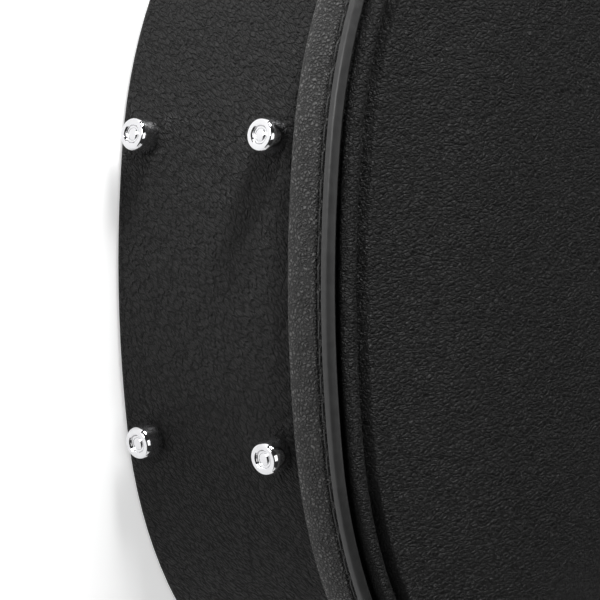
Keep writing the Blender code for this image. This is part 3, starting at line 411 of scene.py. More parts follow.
@dataclass(frozen=True)
class FibreBoard(Finish):
    """Black vulcanised fibre strip: faint fibres along it, matt."""

    def sockets(self, tree: ShaderTree) -> dict[str, object]:
        """Fibres and specks.

        Args:
            tree: Tree of the material.

        Returns:
            Values and links of the shader's sockets.
        """
        fibres = tree.grain(tree.points((140.0, 140.0, 2600.0)), 1.0, 4.0)
        specks = tree.grain(tree.points(), 1400.0, 2.0)
        return {
            "Base Color": tree.tones(tree.ramp(fibres, 0.3, 0.7), self.colour, 0.7, 1.6),
            "Roughness": tree.ramp(fibres, 0.2, 0.8, 0.62, 0.82),
            "Specular IOR Level": 0.3,
            "Normal": tree.bump(specks, 0.0001, 0.45, tree.bump(fibres, 0.0002, 0.4)),
        }


@dataclass(frozen=True)
class Thread(Finish):
    """Waxed sewing thread with a twist that runs along each stitch."""

    def sockets(self, tree: ShaderTree) -> dict[str, object]:
        """Twist and fluff.

        Args:
            tree: Tree of the material.

        Returns:
            Values and links of the shader's sockets.
        """
        points = tree.points(turn=(0.3, 0.5, 0.6))
        waves = {"Vector": points, "Scale": 900.0, "Distortion": 2.0, "Detail": 2.0}
        twist = tree.add("ShaderNodeTexWave", waves).outputs[1]
        return {
            # painted light and shade: the twist's ridges are lighter and its grooves darker in colour, following the
            # bump
            "Base Color": tree.tones(twist, self.colour, 0.5, 1.5),
            "Roughness": tree.ramp(tree.grain(points, 5200.0, 2.0), 0.2, 0.8, 0.45, 0.65),
            "Specular IOR Level": 0.4,
            "Normal": tree.bump(twist, 0.00012, 0.7),
        }


@dataclass(frozen=True)
class StudioFloor(Finish):
    """Pale matt floor of the studio, lit from within like a light table, with a faint unevenness."""

    glow: float = 0.45

    def sockets(self, tree: ShaderTree) -> dict[str, object]:
        """Unevenness and glow.

        Args:
            tree: Tree of the material.

        Returns:
            Values and links of the shader's sockets.
        """
        return {
            "Base Color": tree.tones(tree.grain(tree.points(), 3.0), self.colour, 0.985, 1.01),
            "Roughness": 0.85,
            "Specular IOR Level": 0.1,
            "Emission Color": WHITE,
            "Emission Strength": self.glow,
        }


class Finishes:
    """All finishes of the case, one material each."""

    def __init__(self) -> None:
        """Build every material once."""
        self.cover = Leatherette(
            "cover_fine_grain",
            (0.0094, 0.0091, 0.0091),
            (0.0038, 0.0014),
            math.radians(-50),
            crease=0.17,
            depth=0.0036,
            fold=0.20,
            dark=0.30,
            wander=0.55,
            roughness=0.40,
            specular=0.23,
        ).material()
        # painted shade: a shade darker than the base's cover, for the darker light on the lid's top.
        self.panel_cover = Leatherette(
            "cover_panel_grain",
            (0.0088, 0.0088, 0.0088),
            (0.0030, 0.0018),
            crease=0.20,
            depth=0.00150,
            dark=0.35,
            roughness=0.36,
            specular=0.28,
            on_map=False,
        ).material()
        # The band's colour is much lighter than the cover's: partly its own pebble vinyl, partly painted light for
        # the light and highlights that the band catches.
        self.band = Leatherette(
            "band_pebble",
            (0.0780, 0.0770, 0.0760),
            (0.00155, 0.00175),
            crease=0.32,
            depth=0.00105,
            dome=0.9,
            fold=0.10,
            dark=0.20,
            spread=0.30,
            specular=0.35,
            pressed=(0.1012, 0.1080),
        ).material()
        self.bead = SmoothVinyl("bead_vinyl", (0.026, 0.026, 0.026), 0.38, 0.42).material()
        self.grip = Leatherette(
            "grip_moulded", (0.014, 0.014, 0.014), (0.0013, 0.0011), crease=0.25, depth=0.00012, on_map=False
        ).material()
        self.plush = Plush("lining_plush", (0.045, 0.045, 0.050)).material()
        self.board = FibreBoard("rim_fibre_board", (0.015, 0.015, 0.015)).material()
        self.chrome = Plating("chrome_plate").material()
        self.thread = Thread("black_thread", (0.020, 0.020, 0.020)).material()
        self.floor = StudioFloor("studio_floor", (0.88, 0.88, 0.88)).material()


# ---- Plan outline


def turned(vector: Vector, angle: float) -> Vector:
    """A plan vector turned to the left by an angle."""
    c, s = math.cos(angle), math.sin(angle)
    return Vector((vector.x * c - vector.y * s, vector.x * s + vector.y * c))


def crossing(a: Vector, along_a: Vector, b: Vector, along_b: Vector) -> Vector:
    """Where two plan lines meet."""
    return a + along_a * ((b - a).cross(along_b) / along_a.cross(along_b))


@dataclass
class CaseOutline:
    """The case's plan outline, which every shell piece follows at some inset.

    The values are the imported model's own. Every loop has the same number of points, so loops at
    different insets join to one surface.
    """

    length: float = 1.225
    tail_slope: float = math.radians(7.0)
    tail_radius: float = 0.491
    flank_slope: float = math.radians(30.0)
    flank_radius: float = 0.209
    tail_corner: float = 0.137
    lower_half: float = 0.1975
    lower_x: float = -0.185
    upper_half: float = 0.176
    upper_x: float = -0.585
    lower_end_x: float = -0.243
    waist_tail_x: float = -0.308
    waist_head_x: float = -0.480
    waist_half: float = 0.165
    upper_start_x: float = -0.530
    shoulder_x: float = -0.640
    neck_start_x: float = -0.725
    neck_half: float = 0.097
    bout_radius: float = 0.120
    shoulder_radius: float = 0.080
    neck_radius: float = 0.060
    head_corner: float = 0.045
    head_slope: float = math.radians(4.0)
    head_radius: float = 0.300
    least_radius: float = 0.006
    arc_step: float = math.radians(3.2)
    straight_step: float = 0.018
    shift: Vector = field(init=False)

    def __post_init__(self) -> None:
        """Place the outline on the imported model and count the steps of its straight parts."""
        low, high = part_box("base_back_panel")
        self.shift = Vector(((low.x + high.x) / 2 + self.length / 2, (low.y + high.y) / 2))
        runs = self._runs(0.0)
        gaps = [(b[0] - a[-1]).length for a, b in zip(runs, runs[1:])]
        self.counts = [max(1, round(gap / self.straight_step)) for gap in gaps]

    def side_y(self, x: float) -> float:
        """Half width at x of the straight line that both bouts touch."""
        slope = (self.lower_half - self.upper_half) / (self.lower_x - self.upper_x)
        return self.lower_half + slope * (x - self.lower_x)

    def _corners(self) -> list[tuple[Vector, float]]:
        """Corners of the half outline before rounding.

        Returns:
            Each corner with its radius, tail to head.
        """
        side = Vector((1.0, self.side_y(1.0) - self.side_y(0.0))).normalized()
        tail = Vector((self.tail_radius * (1 / math.cos(self.tail_slope) - 1), 0.0))
        head = Vector((-self.length - self.head_radius * (1 / math.cos(self.head_slope) - 1), 0.0))
        across = Vector((0.0, 1.0))
        tail_edge, flank_edge = turned(across, self.tail_slope), turned(across, self.flank_slope)
        flank_reach = self.flank_radius * math.tan((self.flank_slope - self.tail_slope) / 2)
        tail_flank = tail + tail_edge * (self.tail_radius * math.tan(self.tail_slope) + flank_reach)
        tail_corner = crossing(tail_flank, flank_edge, Vector((self.lower_x, self.lower_half)), side)
        head_edge = turned(across, -self.head_slope)
        head_corner = crossing(head, head_edge, Vector((0.0, self.neck_half)), Vector((1.0, 0.0)))
        return [
            (tail, self.tail_radius),
            (tail_flank, self.flank_radius),
            (tail_corner, self.tail_corner),
            (Vector((self.lower_end_x, self.side_y(self.lower_end_x))), self.bout_radius),
            (Vector((self.waist_tail_x, self.waist_half)), self.bout_radius),
            (Vector((self.waist_head_x, self.waist_half)), self.bout_radius),
            (Vector((self.upper_start_x, self.side_y(self.upper_start_x))), self.bout_radius),
            (Vector((self.shoulder_x, self.side_y(self.shoulder_x))), self.shoulder_radius),
            (Vector((self.neck_start_x, self.neck_half)), self.neck_radius),
            (head_corner, self.head_corner),
            (head, self.head_radius),
        ]

    def _runs(self, inset: float) -> list[list[Vector]]:
        """Rounded corners of the half outline.

        Args:
            inset: Distance inside the outline.

        Returns:
            Points of each corner, the two end arcs included.
        """
        corners = self._corners()
        plain = [corner for corner, _ in corners]
        lines = [(Vector((0.0, 0.0)), Vector((1.0, 0.0)))]
        for start, end in zip(plain, plain[1:]):
            along = (end - start).normalized()
            lines.append((start + Vector((-along.y, along.x)) * inset, along))
        lines.append(lines[0])
        points = [crossing(*before, *after) for before, after in zip(lines, lines[1:])]
        alongs = [(b - a).normalized() for a, b in zip(points, points[1:])]
        inner = [math.atan2(a.cross(b), a.dot(b)) for a, b in zip(alongs, alongs[1:])]
        turns = [2 * self.tail_slope, *inner, 2 * self.head_slope]
        radii = [
            max(radius - math.copysign(inset, turn), self.least_radius) for (_, radius), turn in zip(corners, turns)
        ]
        reaches = [radius * math.tan(abs(turn) / 2) for radius, turn in zip(radii, turns)]
        lengths = [(b - a).length for a, b in zip(points, points[1:])]
        shares = [min(1.0, length / (a + b)) for length, a, b in zip(lengths, reaches, reaches[1:])]
        reaches = [reach * min(pair) for reach, *pair in zip(reaches, [1.0, *shares], [*shares, 1.0])]
        steps = [max(2, math.ceil(abs(turn) / self.arc_step)) for turn in turns]
        runs = [self._end_arc(points[0], alongs[0], reaches[0], self.tail_slope, steps[0])]
        for corner, before, turn, reach, count in zip(points[1:-1], alongs, inner, reaches[1:-1], steps[1:-1]):
            runs.append(self._corner_arc(corner, before, turn, reach, count))
        head = self._end_arc(points[-1], -alongs[-1], reaches[-1], self.head_slope, steps[-1])
        return [*runs, head[::-1]]

    @staticmethod
    def _corner_arc(corner: Vector, before: Vector, turn: float, reach: float, steps: int) -> list[Vector]:
        """Round one corner.

        Args:
            corner: The corner.
            before: Direction of the edge that leads to it.
            turn: Angle that the outline turns by there.
            reach: What the rounding takes off each edge.
            steps: Segments of the arc.

        Returns:
            Points of the arc.
        """
        radius = math.copysign(reach / math.tan(abs(turn) / 2), turn)
        start = corner - before * reach
        centre = start + Vector((-before.y, before.x)) * radius
        return [centre + turned(start - centre, turn * k / steps) for k in range(steps + 1)]

    @staticmethod
    def _end_arc(tip: Vector, along: Vector, reach: float, slope: float, steps: int) -> list[Vector]:
        """Half of the shallow arc at one end.

        Args:
            tip: Where the edges beside the arc would meet, on the centre line.
            along: Direction from there to the side.
            reach: What the arc takes off the edge.
            slope: Angle that half of the arc turns by.
            steps: Segments of the half arc.

        Returns:
            Points from the centre line outwards.
        """
        start = tip + along * reach
        radius = reach / math.tan(slope)
        facing = math.copysign(1.0, tip.x - start.x)
        centre_x = start.x - facing * radius * math.cos(slope)
        angles = [slope * k / steps for k in range(steps + 1)]
        return [Vector((centre_x + facing * radius * math.cos(a), radius * math.sin(a))) for a in angles]

    def half(self, inset: float) -> list[Vector]:
        """Half of the outline, along +Y.

        Args:
            inset: Distance inside the outline.

        Returns:
            Points from the tail's middle to the head's middle, in plan coordinates.
        """
        runs = self._runs(inset)
        points = list(runs[0])
        for count, before, after in zip(self.counts, runs, runs[1:]):
            points += [before[-1].lerp(after[0], k / count) for k in range(1, count)]
            points += after
        return points

    def loop(self, inset: float) -> list[Vector]:
        """The whole outline.

        Args:
            inset: Distance inside the outline.

        Returns:
            Points counter-clockwise from the tail's middle, in the model's coordinates.
        """
        half = self.half(inset)
        mirrored = [Vector((p.x, -p.y)) for p in half[-2:0:-1]]
        return [p + self.shift for p in half + mirrored]

    def spot(self, value: float, side: Side, across: bool = False) -> tuple[Vector, Vector]:
        """A place on the outline.

        Args:
            value: Plan x of the place, or its distance from the centre line where across is true.
            side: Long side that the place is on.
            across: True to look the place up by its distance from the centre line.

        Returns:
            The point and the outward direction there, in the model's coordinates.
        """
        key = 1 if across else 0
        half = self.half(0.0)
        for a, b in zip(half, half[1:]):
            low, high = sorted((a[key], b[key]))
            if low <= value <= high and high > low:
                point = a.lerp(b, (value - a[key]) / (b[key] - a[key]))
                outward = Vector((b.y - a.y, a.x - b.x)).normalized()
                flip = Vector((1.0, side.value))
                return point * flip + self.shift, outward * flip
        raise ValueError(f"no place at {value} on the outline")


def wall_frame(point: Vector, outward: Vector, z: float = 0.0) -> Matrix:
    """Frame on a wall: X along it, Y outwards, Z up."""
    angle = math.atan2(-outward.x, outward.y)
    return Matrix.Translation((point.x, point.y, z)) @ Matrix.Rotation(angle, 4, "Z")


# ---- Profiles


def arc(centre: Point, radius: float, start: float, end: float, steps: int) -> Profile:
    """Points of an arc in degrees, both ends included."""
    angles = [math.radians(start + (end - start) * k / steps) for k in range(steps + 1)]
    return [(centre[0] + radius * math.cos(a), centre[1] + radius * math.sin(a)) for a in angles]


def softened(points: Profile, radii: dict[int, float], steps: int = 4) -> Profile:
    """An open profile with some of its corners rounded.

    Args:
        points: Corners of the profile.
        radii: Corner number to the length that the rounding takes off each neighbouring edge.
        steps: Segments of each rounding.

    Returns:
        The profile with the rounded corners.
    """
    result: Profile = []
    for k, point in enumerate(points):
        if k not in radii:
            result.append(point)
            continue
        here = Vector(point)
        before = (Vector(points[k - 1]) - here).normalized() * radii[k]
        after = (Vector(points[(k + 1) % len(points)]) - here).normalized() * radii[k]
        for t in (step / steps for step in range(steps + 1)):
            result.append(tuple(here + (before * (1 - t) ** 2 + after * t**2)))
    return result


def subdivided(points: Profile, longest: float) -> Profile:
    """A profile whose long segments are cut into shorter ones.

    Args:
        points: The profile.
        longest: Longest segment that stays.

    Returns:
        The profile with the points between.
    """
    result = [points[0]]
    for a, b in zip(points, points[1:]):
        count = max(1, math.ceil(math.dist(a, b) / longest))
        result += [tuple(Vector(a).lerp(Vector(b), k / count)) for k in range(1, count + 1)]
    return result


# ---- Meshes and pieces


def linked(name: str, data: bpy.types.ID) -> Piece:
    """A new object in the scene.

    Args:
        name: Its name.
        data: Its mesh, light or camera.

    Returns:
        The object.
    """
    obj = bpy.data.objects.new(name, data)
    bpy.context.scene.collection.objects.link(obj)
    return obj


def mesh_of(bm: bmesh.types.BMesh, name: str) -> bpy.types.Mesh:
    """A mesh with what a bmesh holds.

    Args:
        bm: The bmesh, which is freed.
        name: Name of the mesh.

    Returns:
        The mesh.
    """
    mesh = bpy.data.meshes.new(name)
    bm.to_mesh(mesh)
    bm.free()
    return mesh


def finished(bm: bmesh.types.BMesh, name: str, material: Material, sharp: float = 38.0) -> Piece:
    """An object from a closed bmesh, its faces outwards.

    Args:
        bm: The bmesh.
        name: Name of the piece.
        material: Its finish.
        sharp: Angle in degrees above which edges stay sharp.

    Returns:
        The piece.
    """
    bmesh.ops.remove_doubles(bm, verts=bm.verts, dist=MERGE)
    bmesh.ops.recalc_face_normals(bm, faces=bm.faces)
    mesh = mesh_of(bm, name)
    mesh.materials.append(material)
    mesh.shade_smooth()
    mesh.set_sharp_from_angle(angle=math.radians(sharp))
    return linked(name, mesh)


def node_copy(node: str, name: str, material: Material) -> Piece:
    """A CAD node's shape as a piece of its own.

    Args:
        node: Name of the node.
        name: Name of the piece.
        material: Its finish.

    Returns:
        The piece.
    """
    bm = bmesh.new()
    bm.from_mesh(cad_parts[node].data)
    obj = finished(bm, name, material, sharp=60.0)
    dress(obj, material)
    return obj


def bridge(bm: bmesh.types.BMesh, a: Ring, b: Ring) -> None:
    """Faces between two closed rings.

    Args:
        bm: The bmesh.
        a: One ring, or one vertex.
        b: The other ring, or one vertex.
    """
    count = max(len(a), len(b))
    for k in range(count):
        j = (k + 1) % count
        bm.faces.new(([a[k], a[j]] if len(a) > 1 else a) + ([b[j], b[k]] if len(b) > 1 else b))


def lathe(profile: Profile, sides: int) -> bmesh.types.BMesh:
    """A closed solid turned about Y.

    Args:
        profile: (radius, y) points, the first and the last on the axis.
        sides: Faces round the axis.

    Returns:
        The solid.
    """
    bm = bmesh.new()
    rings = []
    for radius, y in profile:
        angles = [2 * math.pi * k / sides for k in range(sides if radius else 1)]
        rings.append([bm.verts.new((radius * math.cos(a), y, radius * math.sin(a))) for a in angles])
    for a, b in zip(rings, rings[1:]):
        bridge(bm, a, b)
    return bm


def frozen(obj: Piece) -> Piece:
    """Turn an object's modifiers into its own plain mesh.

    Args:
        obj: The object.

    Returns:
        The same object.
    """
    depsgraph = bpy.context.evaluated_depsgraph_get()
    mesh = bpy.data.meshes.new_from_object(obj.evaluated_get(depsgraph), depsgraph=depsgraph)
    obj.modifiers.clear()
    obj.data = mesh
    return obj


def modify(obj: Piece, kind: str, **settings: object) -> None:
    """Add a modifier.

    Args:
        obj: The object.
        kind: Blender's type name of the modifier.
        **settings: Its properties.
    """
    modifier = obj.modifiers.new(kind.lower(), kind)
    for key, value in settings.items():
        setattr(modifier, key, value)


def dress(obj: Piece, material: Material) -> None:
    """Give an object one finish alone."""
    obj.data.materials.clear()
    obj.data.materials.append(material)


def dress_node(node: str, material: Material, bevel: float = 0.0) -> None:
    """Give a CAD node that stays its finish.

    Args:
        node: Name of the node.
        material: Its finish.
        bevel: Width of its rounded edges, or 0 to leave them sharp.
    """
    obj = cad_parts[node]
    dress(obj, material)
    if bevel:
        modify(obj, "WELD", merge_threshold=0.00001)
        modify(obj, "BEVEL", width=bevel, segments=2, limit_method="ANGLE", angle_limit=math.radians(40))
    LOG.info("%s keeps its CAD shape", node)


def set_piece(obj: Piece, body: str, replaces: tuple[str, ...] = ()) -> None:
    """Hand a finished piece to the frame.

    Args:
        obj: The piece, in its place.
        body: Body that it rides on.
        replaces: CAD nodes that it stands for.
    """
    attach(obj, body)
    if replaces:
        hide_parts(*replaces)
    LOG.info("%s: %d faces on %s", obj.name, len(obj.data.polygons), body)


# ---- Shells that follow the outline


@dataclass(frozen=True)
class Crown:
    """The lid's crown, which leaves its springing at the same slope all round and is level far inside."""

    rise: float = 0.0056
    reach: float = 0.130
    start: float = 0.0
    sharpness: float = 3.0

    def height(self, distance: np.ndarray | float) -> np.ndarray | float:
        """Height over the springing at a distance inside it."""
        short = 1 - np.minimum(distance / self.reach, 1.0)
        return self.rise * (1 - short * short)

    def lift(self, vertices: Ring, ring: Ring) -> None:
        """Raise the vertices inside a loop that lies start inside the springing.

        Args:
            vertices: Vertices to raise.
            ring: The loop.
        """
        points = np.array([vertex.co.xy for vertex in vertices])
        plan = np.array([vertex.co.xy for vertex in [*ring, ring[0]]])
        middle = len(ring) // 2
        sides = [self.distances(points, plan[: middle + 1]), self.distances(points, plan[middle:])]
        inside = sum(side**-self.sharpness for side in sides) ** (-1 / self.sharpness)
        for vertex, way in zip(vertices, inside):
            vertex.co.z += self.height(self.start + way) - self.height(self.start)

    @staticmethod
    def distances(points: np.ndarray, path: np.ndarray) -> np.ndarray:
        """Distance of each point from a path.

        Args:
            points: The points.
            path: Points of the path.

        Returns:
            One distance for each point.
        """
        along = path[1:] - path[:-1]
        away = points[:, None, :] - path[None, :-1, :]
        share = np.clip((away * along).sum(2) / (along * along).sum(1), 0.0, 1.0)
        return np.linalg.norm(away - along * share[..., None], axis=2).min(1)


class ShellMesh:
    """A mesh made of loops that follow the case's outline, with a map of metres along and across."""

    def __init__(self, outline: CaseOutline) -> None:
        """Start an empty mesh.

        Args:
            outline: Outline that the loops follow.
        """
        self.outline = outline
        self.bm = bmesh.new()
        self.map = self.bm.loops.layers.uv.new(GRAIN_MAP)

    def ring(self, inset: float, z: float) -> Ring:
        """One loop of vertices."""
        return [self.bm.verts.new((p.x, p.y, z)) for p in self.outline.loop(inset)]

    def wall(self, lower: Ring, upper: Ring, low_v: float, high_v: float) -> None:
        """Faces between two loops, mapped by the way along the lower loop and up the profile.

        Args:
            lower: The lower loop.
            upper: The upper loop.
            low_v: Way up the profile to the lower loop.
            high_v: Way up the profile to the upper loop.
        """
        count = len(lower)
        way = 0.0
        for i in range(count):
            j = (i + 1) % count
            step = (lower[j].co - lower[i].co).length
            face = self.bm.faces.new((lower[i], lower[j], upper[j], upper[i]))
            places = ((way, low_v), (way + step, low_v), (way + step, high_v), (way, high_v))
            for corner, place in zip(face.loops, places):
                corner[self.map].uv = place
            way += step

    def stack(self, profile: Profile, closed: bool) -> list[Ring]:
        """Loops at the points of a profile, with walls between them.

        Args:
            profile: (inset, z) points.
            closed: True to join the last loop to the first.

        Returns:
            The loops.
        """
        levels = [(place, self.ring(*place)) for place in profile]
        rings = [ring for _, ring in levels]
        if closed:
            levels.append(levels[0])
        way = 0.0
        for (a, lower), (b, upper) in zip(levels, levels[1:]):
            step = math.dist(a, b)
            self.wall(lower, upper, way, way + step)
            way += step
        return rings

    def lid_over(self, ring: Ring, columns: int, crown: Crown | None) -> None:
        """Close a loop with rows across the case.

        Args:
            ring: Loop to close.
            columns: Faces in each row.
            crown: Crown that rises inside the loop, or None for a flat face.
        """
        half = len(ring) // 2
        rows = [[ring[0]]]
        for i in range(1, half):
            left, right = ring[i], ring[-i]
            row = [left]
            for k in range(1, columns):
                share = 0.5 - 0.5 * math.cos(math.pi * k / columns)
                y = left.co.y + (right.co.y - left.co.y) * share
                row.append(self.bm.verts.new((left.co.x, y, left.co.z)))
            rows.append([*row, right])
        rows.append([ring[half]])
        if crown:
            crown.lift([vertex for row in rows[1:-1] for vertex in row[1:-1]], ring)
        for before, after in zip(rows, rows[1:]):
            for k in range(columns):
                behind, ahead = (row[k : k + 2] if len(row) > 1 else row for row in (before, after))
                for corner in self.bm.faces.new((behind[0], *ahead, *behind[1:])).loops:
                    corner[self.map].uv = corner.vert.co.xy


def ring_shell(outline: CaseOutline, profile: Profile, name: str, material: Material, sharp: float = 38.0) -> Piece:
    """A closed ring along the outline.

    Args:
        outline: Outline to follow.
        profile: Closed loop of (inset, z) points.
        name: Name of the piece.
        material: Its finish.
        sharp: Angle in degrees above which edges stay sharp.

    Returns:
        The piece.
    """
    shell = ShellMesh(outline)
    shell.stack(profile, closed=True)
    return finished(shell.bm, name, material, sharp)


def plate_shell(
    outline: CaseOutline,
    profile: Profile,
    name: str,
    material: Material,
    columns: int,
    crowns: tuple[Crown | None, Crown | None] = (None, None),
) -> Piece:
    """A closed plate inside the outline.

    Args:
        outline: Outline to follow.
        profile: (inset, z) points from the lower loop to the upper loop.
        name: Name of the piece.
        material: Its finish.
        columns: Faces across each face.
        crowns: Crown of the lower and of the upper face, or None for a flat one.

    Returns:
        The piece.
    """
    shell = ShellMesh(outline)
    rings = shell.stack(profile, closed=False)
    for ring, crown in zip((rings[0], rings[-1]), crowns):
        shell.lid_over(ring, columns, crown)
    return finished(shell.bm, name, material)


# ---- Repeats made with Geometry Nodes


class RepeatTree(NodeMaker):
    """Geometry Nodes tree that sets copies of a shape, and hands its named inputs to a modifier."""

    def __init__(self, name: str, **extra: str) -> None:
        """Start a tree with its inputs and its output.

        Args:
            name: Name of the tree.
            **extra: Socket kind of each input that it has beside Shape, Seed and Finish.
        """
        self.tree = bpy.data.node_groups.new(name, "GeometryNodeTree")
        super().__init__(self.tree)
        make = self.tree.interface.new_socket
        kinds = {"Geometry": "Geometry", "Shape": "Object", "Seed": "Int", "Finish": "Material", **extra}
        self.inputs = {
            key: make(key, in_out="INPUT", socket_type=f"NodeSocket{kind}").identifier for key, kind in kinds.items()
        }
        make("Geometry", in_out="OUTPUT", socket_type="NodeSocketGeometry")
        self.given = self.nodes.new("NodeGroupInput").outputs

    def close(self, points: Socket, rotation: Socket) -> None:
        """Set the shape on points, and end in real geometry with its material.

        Args:
            points: The points.
            rotation: Rotation of each copy.
        """
        shape = self.add("GeometryNodeObjectInfo", {"Object": self.given["Shape"]})
        places = {"Points": points, "Instance": shape.outputs["Geometry"], "Rotation": rotation}
        copies = self.add("GeometryNodeInstanceOnPoints", places)
        real = self.add("GeometryNodeRealizeInstances", {"Geometry": copies.outputs[0]})
        dressed = self.add("GeometryNodeSetMaterial", {0: real.outputs[0], "Material": self.given["Finish"]})
        self.add("NodeGroupOutput", {0: dressed.outputs[0]})

    def apply(self, obj: Piece, values: dict) -> Piece:
        """Run the tree on an object and keep the result as its mesh.

        Args:
            obj: The object.
            values: Value of each named input.

        Returns:
            The same object.
        """
        modifier = obj.modifiers.new("repeat", "NODES")
        modifier.node_group = self.tree
        for name, value in values.items():
            modifier[self.inputs[name]] = value
        return frozen(obj)


def stitch_tree() -> RepeatTree:
    """Tree that sews stitches along a path.

    Returns:
        A tree whose copies lie along the path and wander a little.
    """
    repeat = RepeatTree("stitches", Count="Int", Wander="Float")
    given = repeat.given
    curve = repeat.add("GeometryNodeMeshToCurve", {0: given["Geometry"]})
    points = repeat.add("GeometryNodeResampleCurve", {"Curve": curve.outputs[0], "Count": given["Count"]})
    parts = repeat.add("ShaderNodeSeparateXYZ", {0: repeat.add("GeometryNodeInputTangent").outputs[0]})
    heading = repeat.add("ShaderNodeMath", {0: parts.outputs[1], 1: parts.outputs[0]}, operation="ARCTAN2")
    ends = {0: (-1.0,) * 3, 1: (1.0,) * 3, "Seed": given["Seed"]}
    tilt = repeat.add("FunctionNodeRandomValue", ends, data_type="FLOAT_VECTOR")
    small = repeat.add("ShaderNodeVectorMath", {0: tilt.outputs[0], "Scale": given["Wander"]}, operation="SCALE")
    turn = repeat.add("ShaderNodeCombineXYZ", {2: heading.outputs[0]})
    total = repeat.add("ShaderNodeVectorMath", {0: turn.outputs[0], 1: small.outputs[0]}, operation="ADD")
    spin = repeat.add("FunctionNodeEulerToRotation", {0: total.outputs[0]})
    repeat.close(points.outputs[0], spin.outputs[0])
    return repeat


def rivet_tree() -> RepeatTree:
    """Tree that sets a fastener on each vertex.

    Returns:
        A tree whose copies have their Z along the vertex's facing attribute.
    """
    repeat = RepeatTree("fasteners")
    facing = repeat.add("GeometryNodeInputNamedAttribute", {"Name": FACING}, data_type="FLOAT_VECTOR")
    upright = repeat.add("FunctionNodeAlignRotationToVector", {"Vector": facing.outputs[0]}, axis="Z")
    angles = {2: 0.0, 3: math.tau, "Seed": repeat.given["Seed"]}
    spin = repeat.add("FunctionNodeRandomValue", angles, data_type="FLOAT")
    about = repeat.add("ShaderNodeCombineXYZ", {2: spin.outputs[1]})
    turn = repeat.add("FunctionNodeEulerToRotation", {0: about.outputs[0]})
    both = {0: upright.outputs[0], 1: turn.outputs[0]}
    rotation = repeat.add("FunctionNodeRotateRotation", both, rotation_space="LOCAL")
    points = repeat.add("GeometryNodeMeshToPoints", {0: repeat.given["Geometry"]})
    repeat.close(points.outputs[0], rotation.outputs[0])
    return repeat


def path_object(points: list[Vector], name: str) -> Piece:
    """A closed path of mesh edges.

    Args:
        points: Points of the path.
        name: Name of the object.

    Returns:
        The object.
    """
    bm = bmesh.new()
    verts = [bm.verts.new(p) for p in points]
    for a, b in zip(verts, verts[1:] + verts[:1]):
        bm.edges.new((a, b))
    return linked(name, mesh_of(bm, name))


def pattern_shape(bm: bmesh.types.BMesh, name: str) -> Piece:
    """A shape that a tree copies, kept out of the render.

    Args:
        bm: The shape.
        name: Name of the object.

    Returns:
        The object.
    """
    bmesh.ops.recalc_face_normals(bm, faces=bm.faces)
    mesh = mesh_of(bm, name)
    mesh.shade_smooth()
    return bpy.data.objects.new(name, mesh)


@dataclass
class FastenerSet:
    """Rivets of the fittings, gathered by body while the fittings are dressed."""

    head_radius: float = 0.0021
    head_height: float = 0.0009
    flange: float = 0.25
    sunk: float = 0.0004
    sides: int = 14
    seed: int = 3
    places: dict[str, list[tuple[Vector, Vector]]] = field(default_factory=dict)

    def add(self, body: str, point: Vector, facing: Vector) -> None:
        """Note one fastener."""
        self.places.setdefault(body, []).append((point, facing))

    def head(self, name: str) -> Piece:
        """Domed head on a thin flange, its underside slightly sunk in what it holds.

        Args:
            name: Name of the shape.

        Returns:
            The shape.
        """
        r, h, flange = self.head_radius, self.head_height, self.flange
        dome = [(r * math.cos(a), h * (flange + (1 - flange) * math.sin(a))) for a in (0.45, 0.85, 1.2)]
        bm = lathe([(0.0, -self.sunk), (r, -self.sunk), (r, h * flange), *dome, (0.0, h)], self.sides)
        bmesh.ops.rotate(bm, verts=bm.verts, matrix=Matrix.Rotation(math.pi / 2, 3, "X"))
        return pattern_shape(bm, name)

    def build(self, name: str, tree: RepeatTree, finish: Material) -> None:
        """Set every fastener, one piece for each body.

        Args:
            name: Start of the pieces' names.
            tree: Tree that sets the copies.
            finish: Their finish.
        """
        head = self.head(f"{name}_head")
        for body, places in self.places.items():
            mesh = bpy.data.meshes.new(f"{name}_{body}")
            mesh.from_pydata([tuple(point) for point, _ in places], [], [])
            facing = mesh.attributes.new(FACING, "FLOAT_VECTOR", "POINT")
            for item, (_, direction) in zip(facing.data, places):
                item.vector = direction
            obj = linked(f"{name}_{body}", mesh)
            tree.apply(obj, {"Shape": head, "Seed": self.seed, "Finish": finish})
            set_piece(obj, body)
        bpy.data.objects.remove(head)


# ---- Sub-assemblies


@dataclass
class BaseShell:
    """The base's covered wall, its back panel and the fibre strip inside its rim."""

    outline: CaseOutline
    finishes: Finishes
    wall: float = 0.005
    depth: float = 0.100
    rim_radius: float = 0.0032
    fold: float = 0.0012
    strips: tuple = ("tail", "waist_hinge_side", "waist_handle_side", "head")

    def build(self) -> None:
        """Build one cover over the walls and dress the flat pieces."""
        profile = [
            (self.wall, 0.0),
            *arc((self.rim_radius, self.rim_radius), self.rim_radius, 270, 180, 6),
            (0.0, self.depth - self.fold),
            (self.fold * 0.4, self.depth - self.fold * 0.25),
            (self.fold, self.depth),
            (self.wall, self.depth),
        ]
        skin = ring_shell(self.outline, profile, "base_cover", self.finishes.cover)
        set_piece(skin, "base", tuple(f"base_wall_{strip}" for strip in self.strips))
        dress_node("base_back_panel", self.finishes.panel_cover)
        for strip in self.strips:
            dress_node(f"locating_lip_{strip}", self.finishes.board)


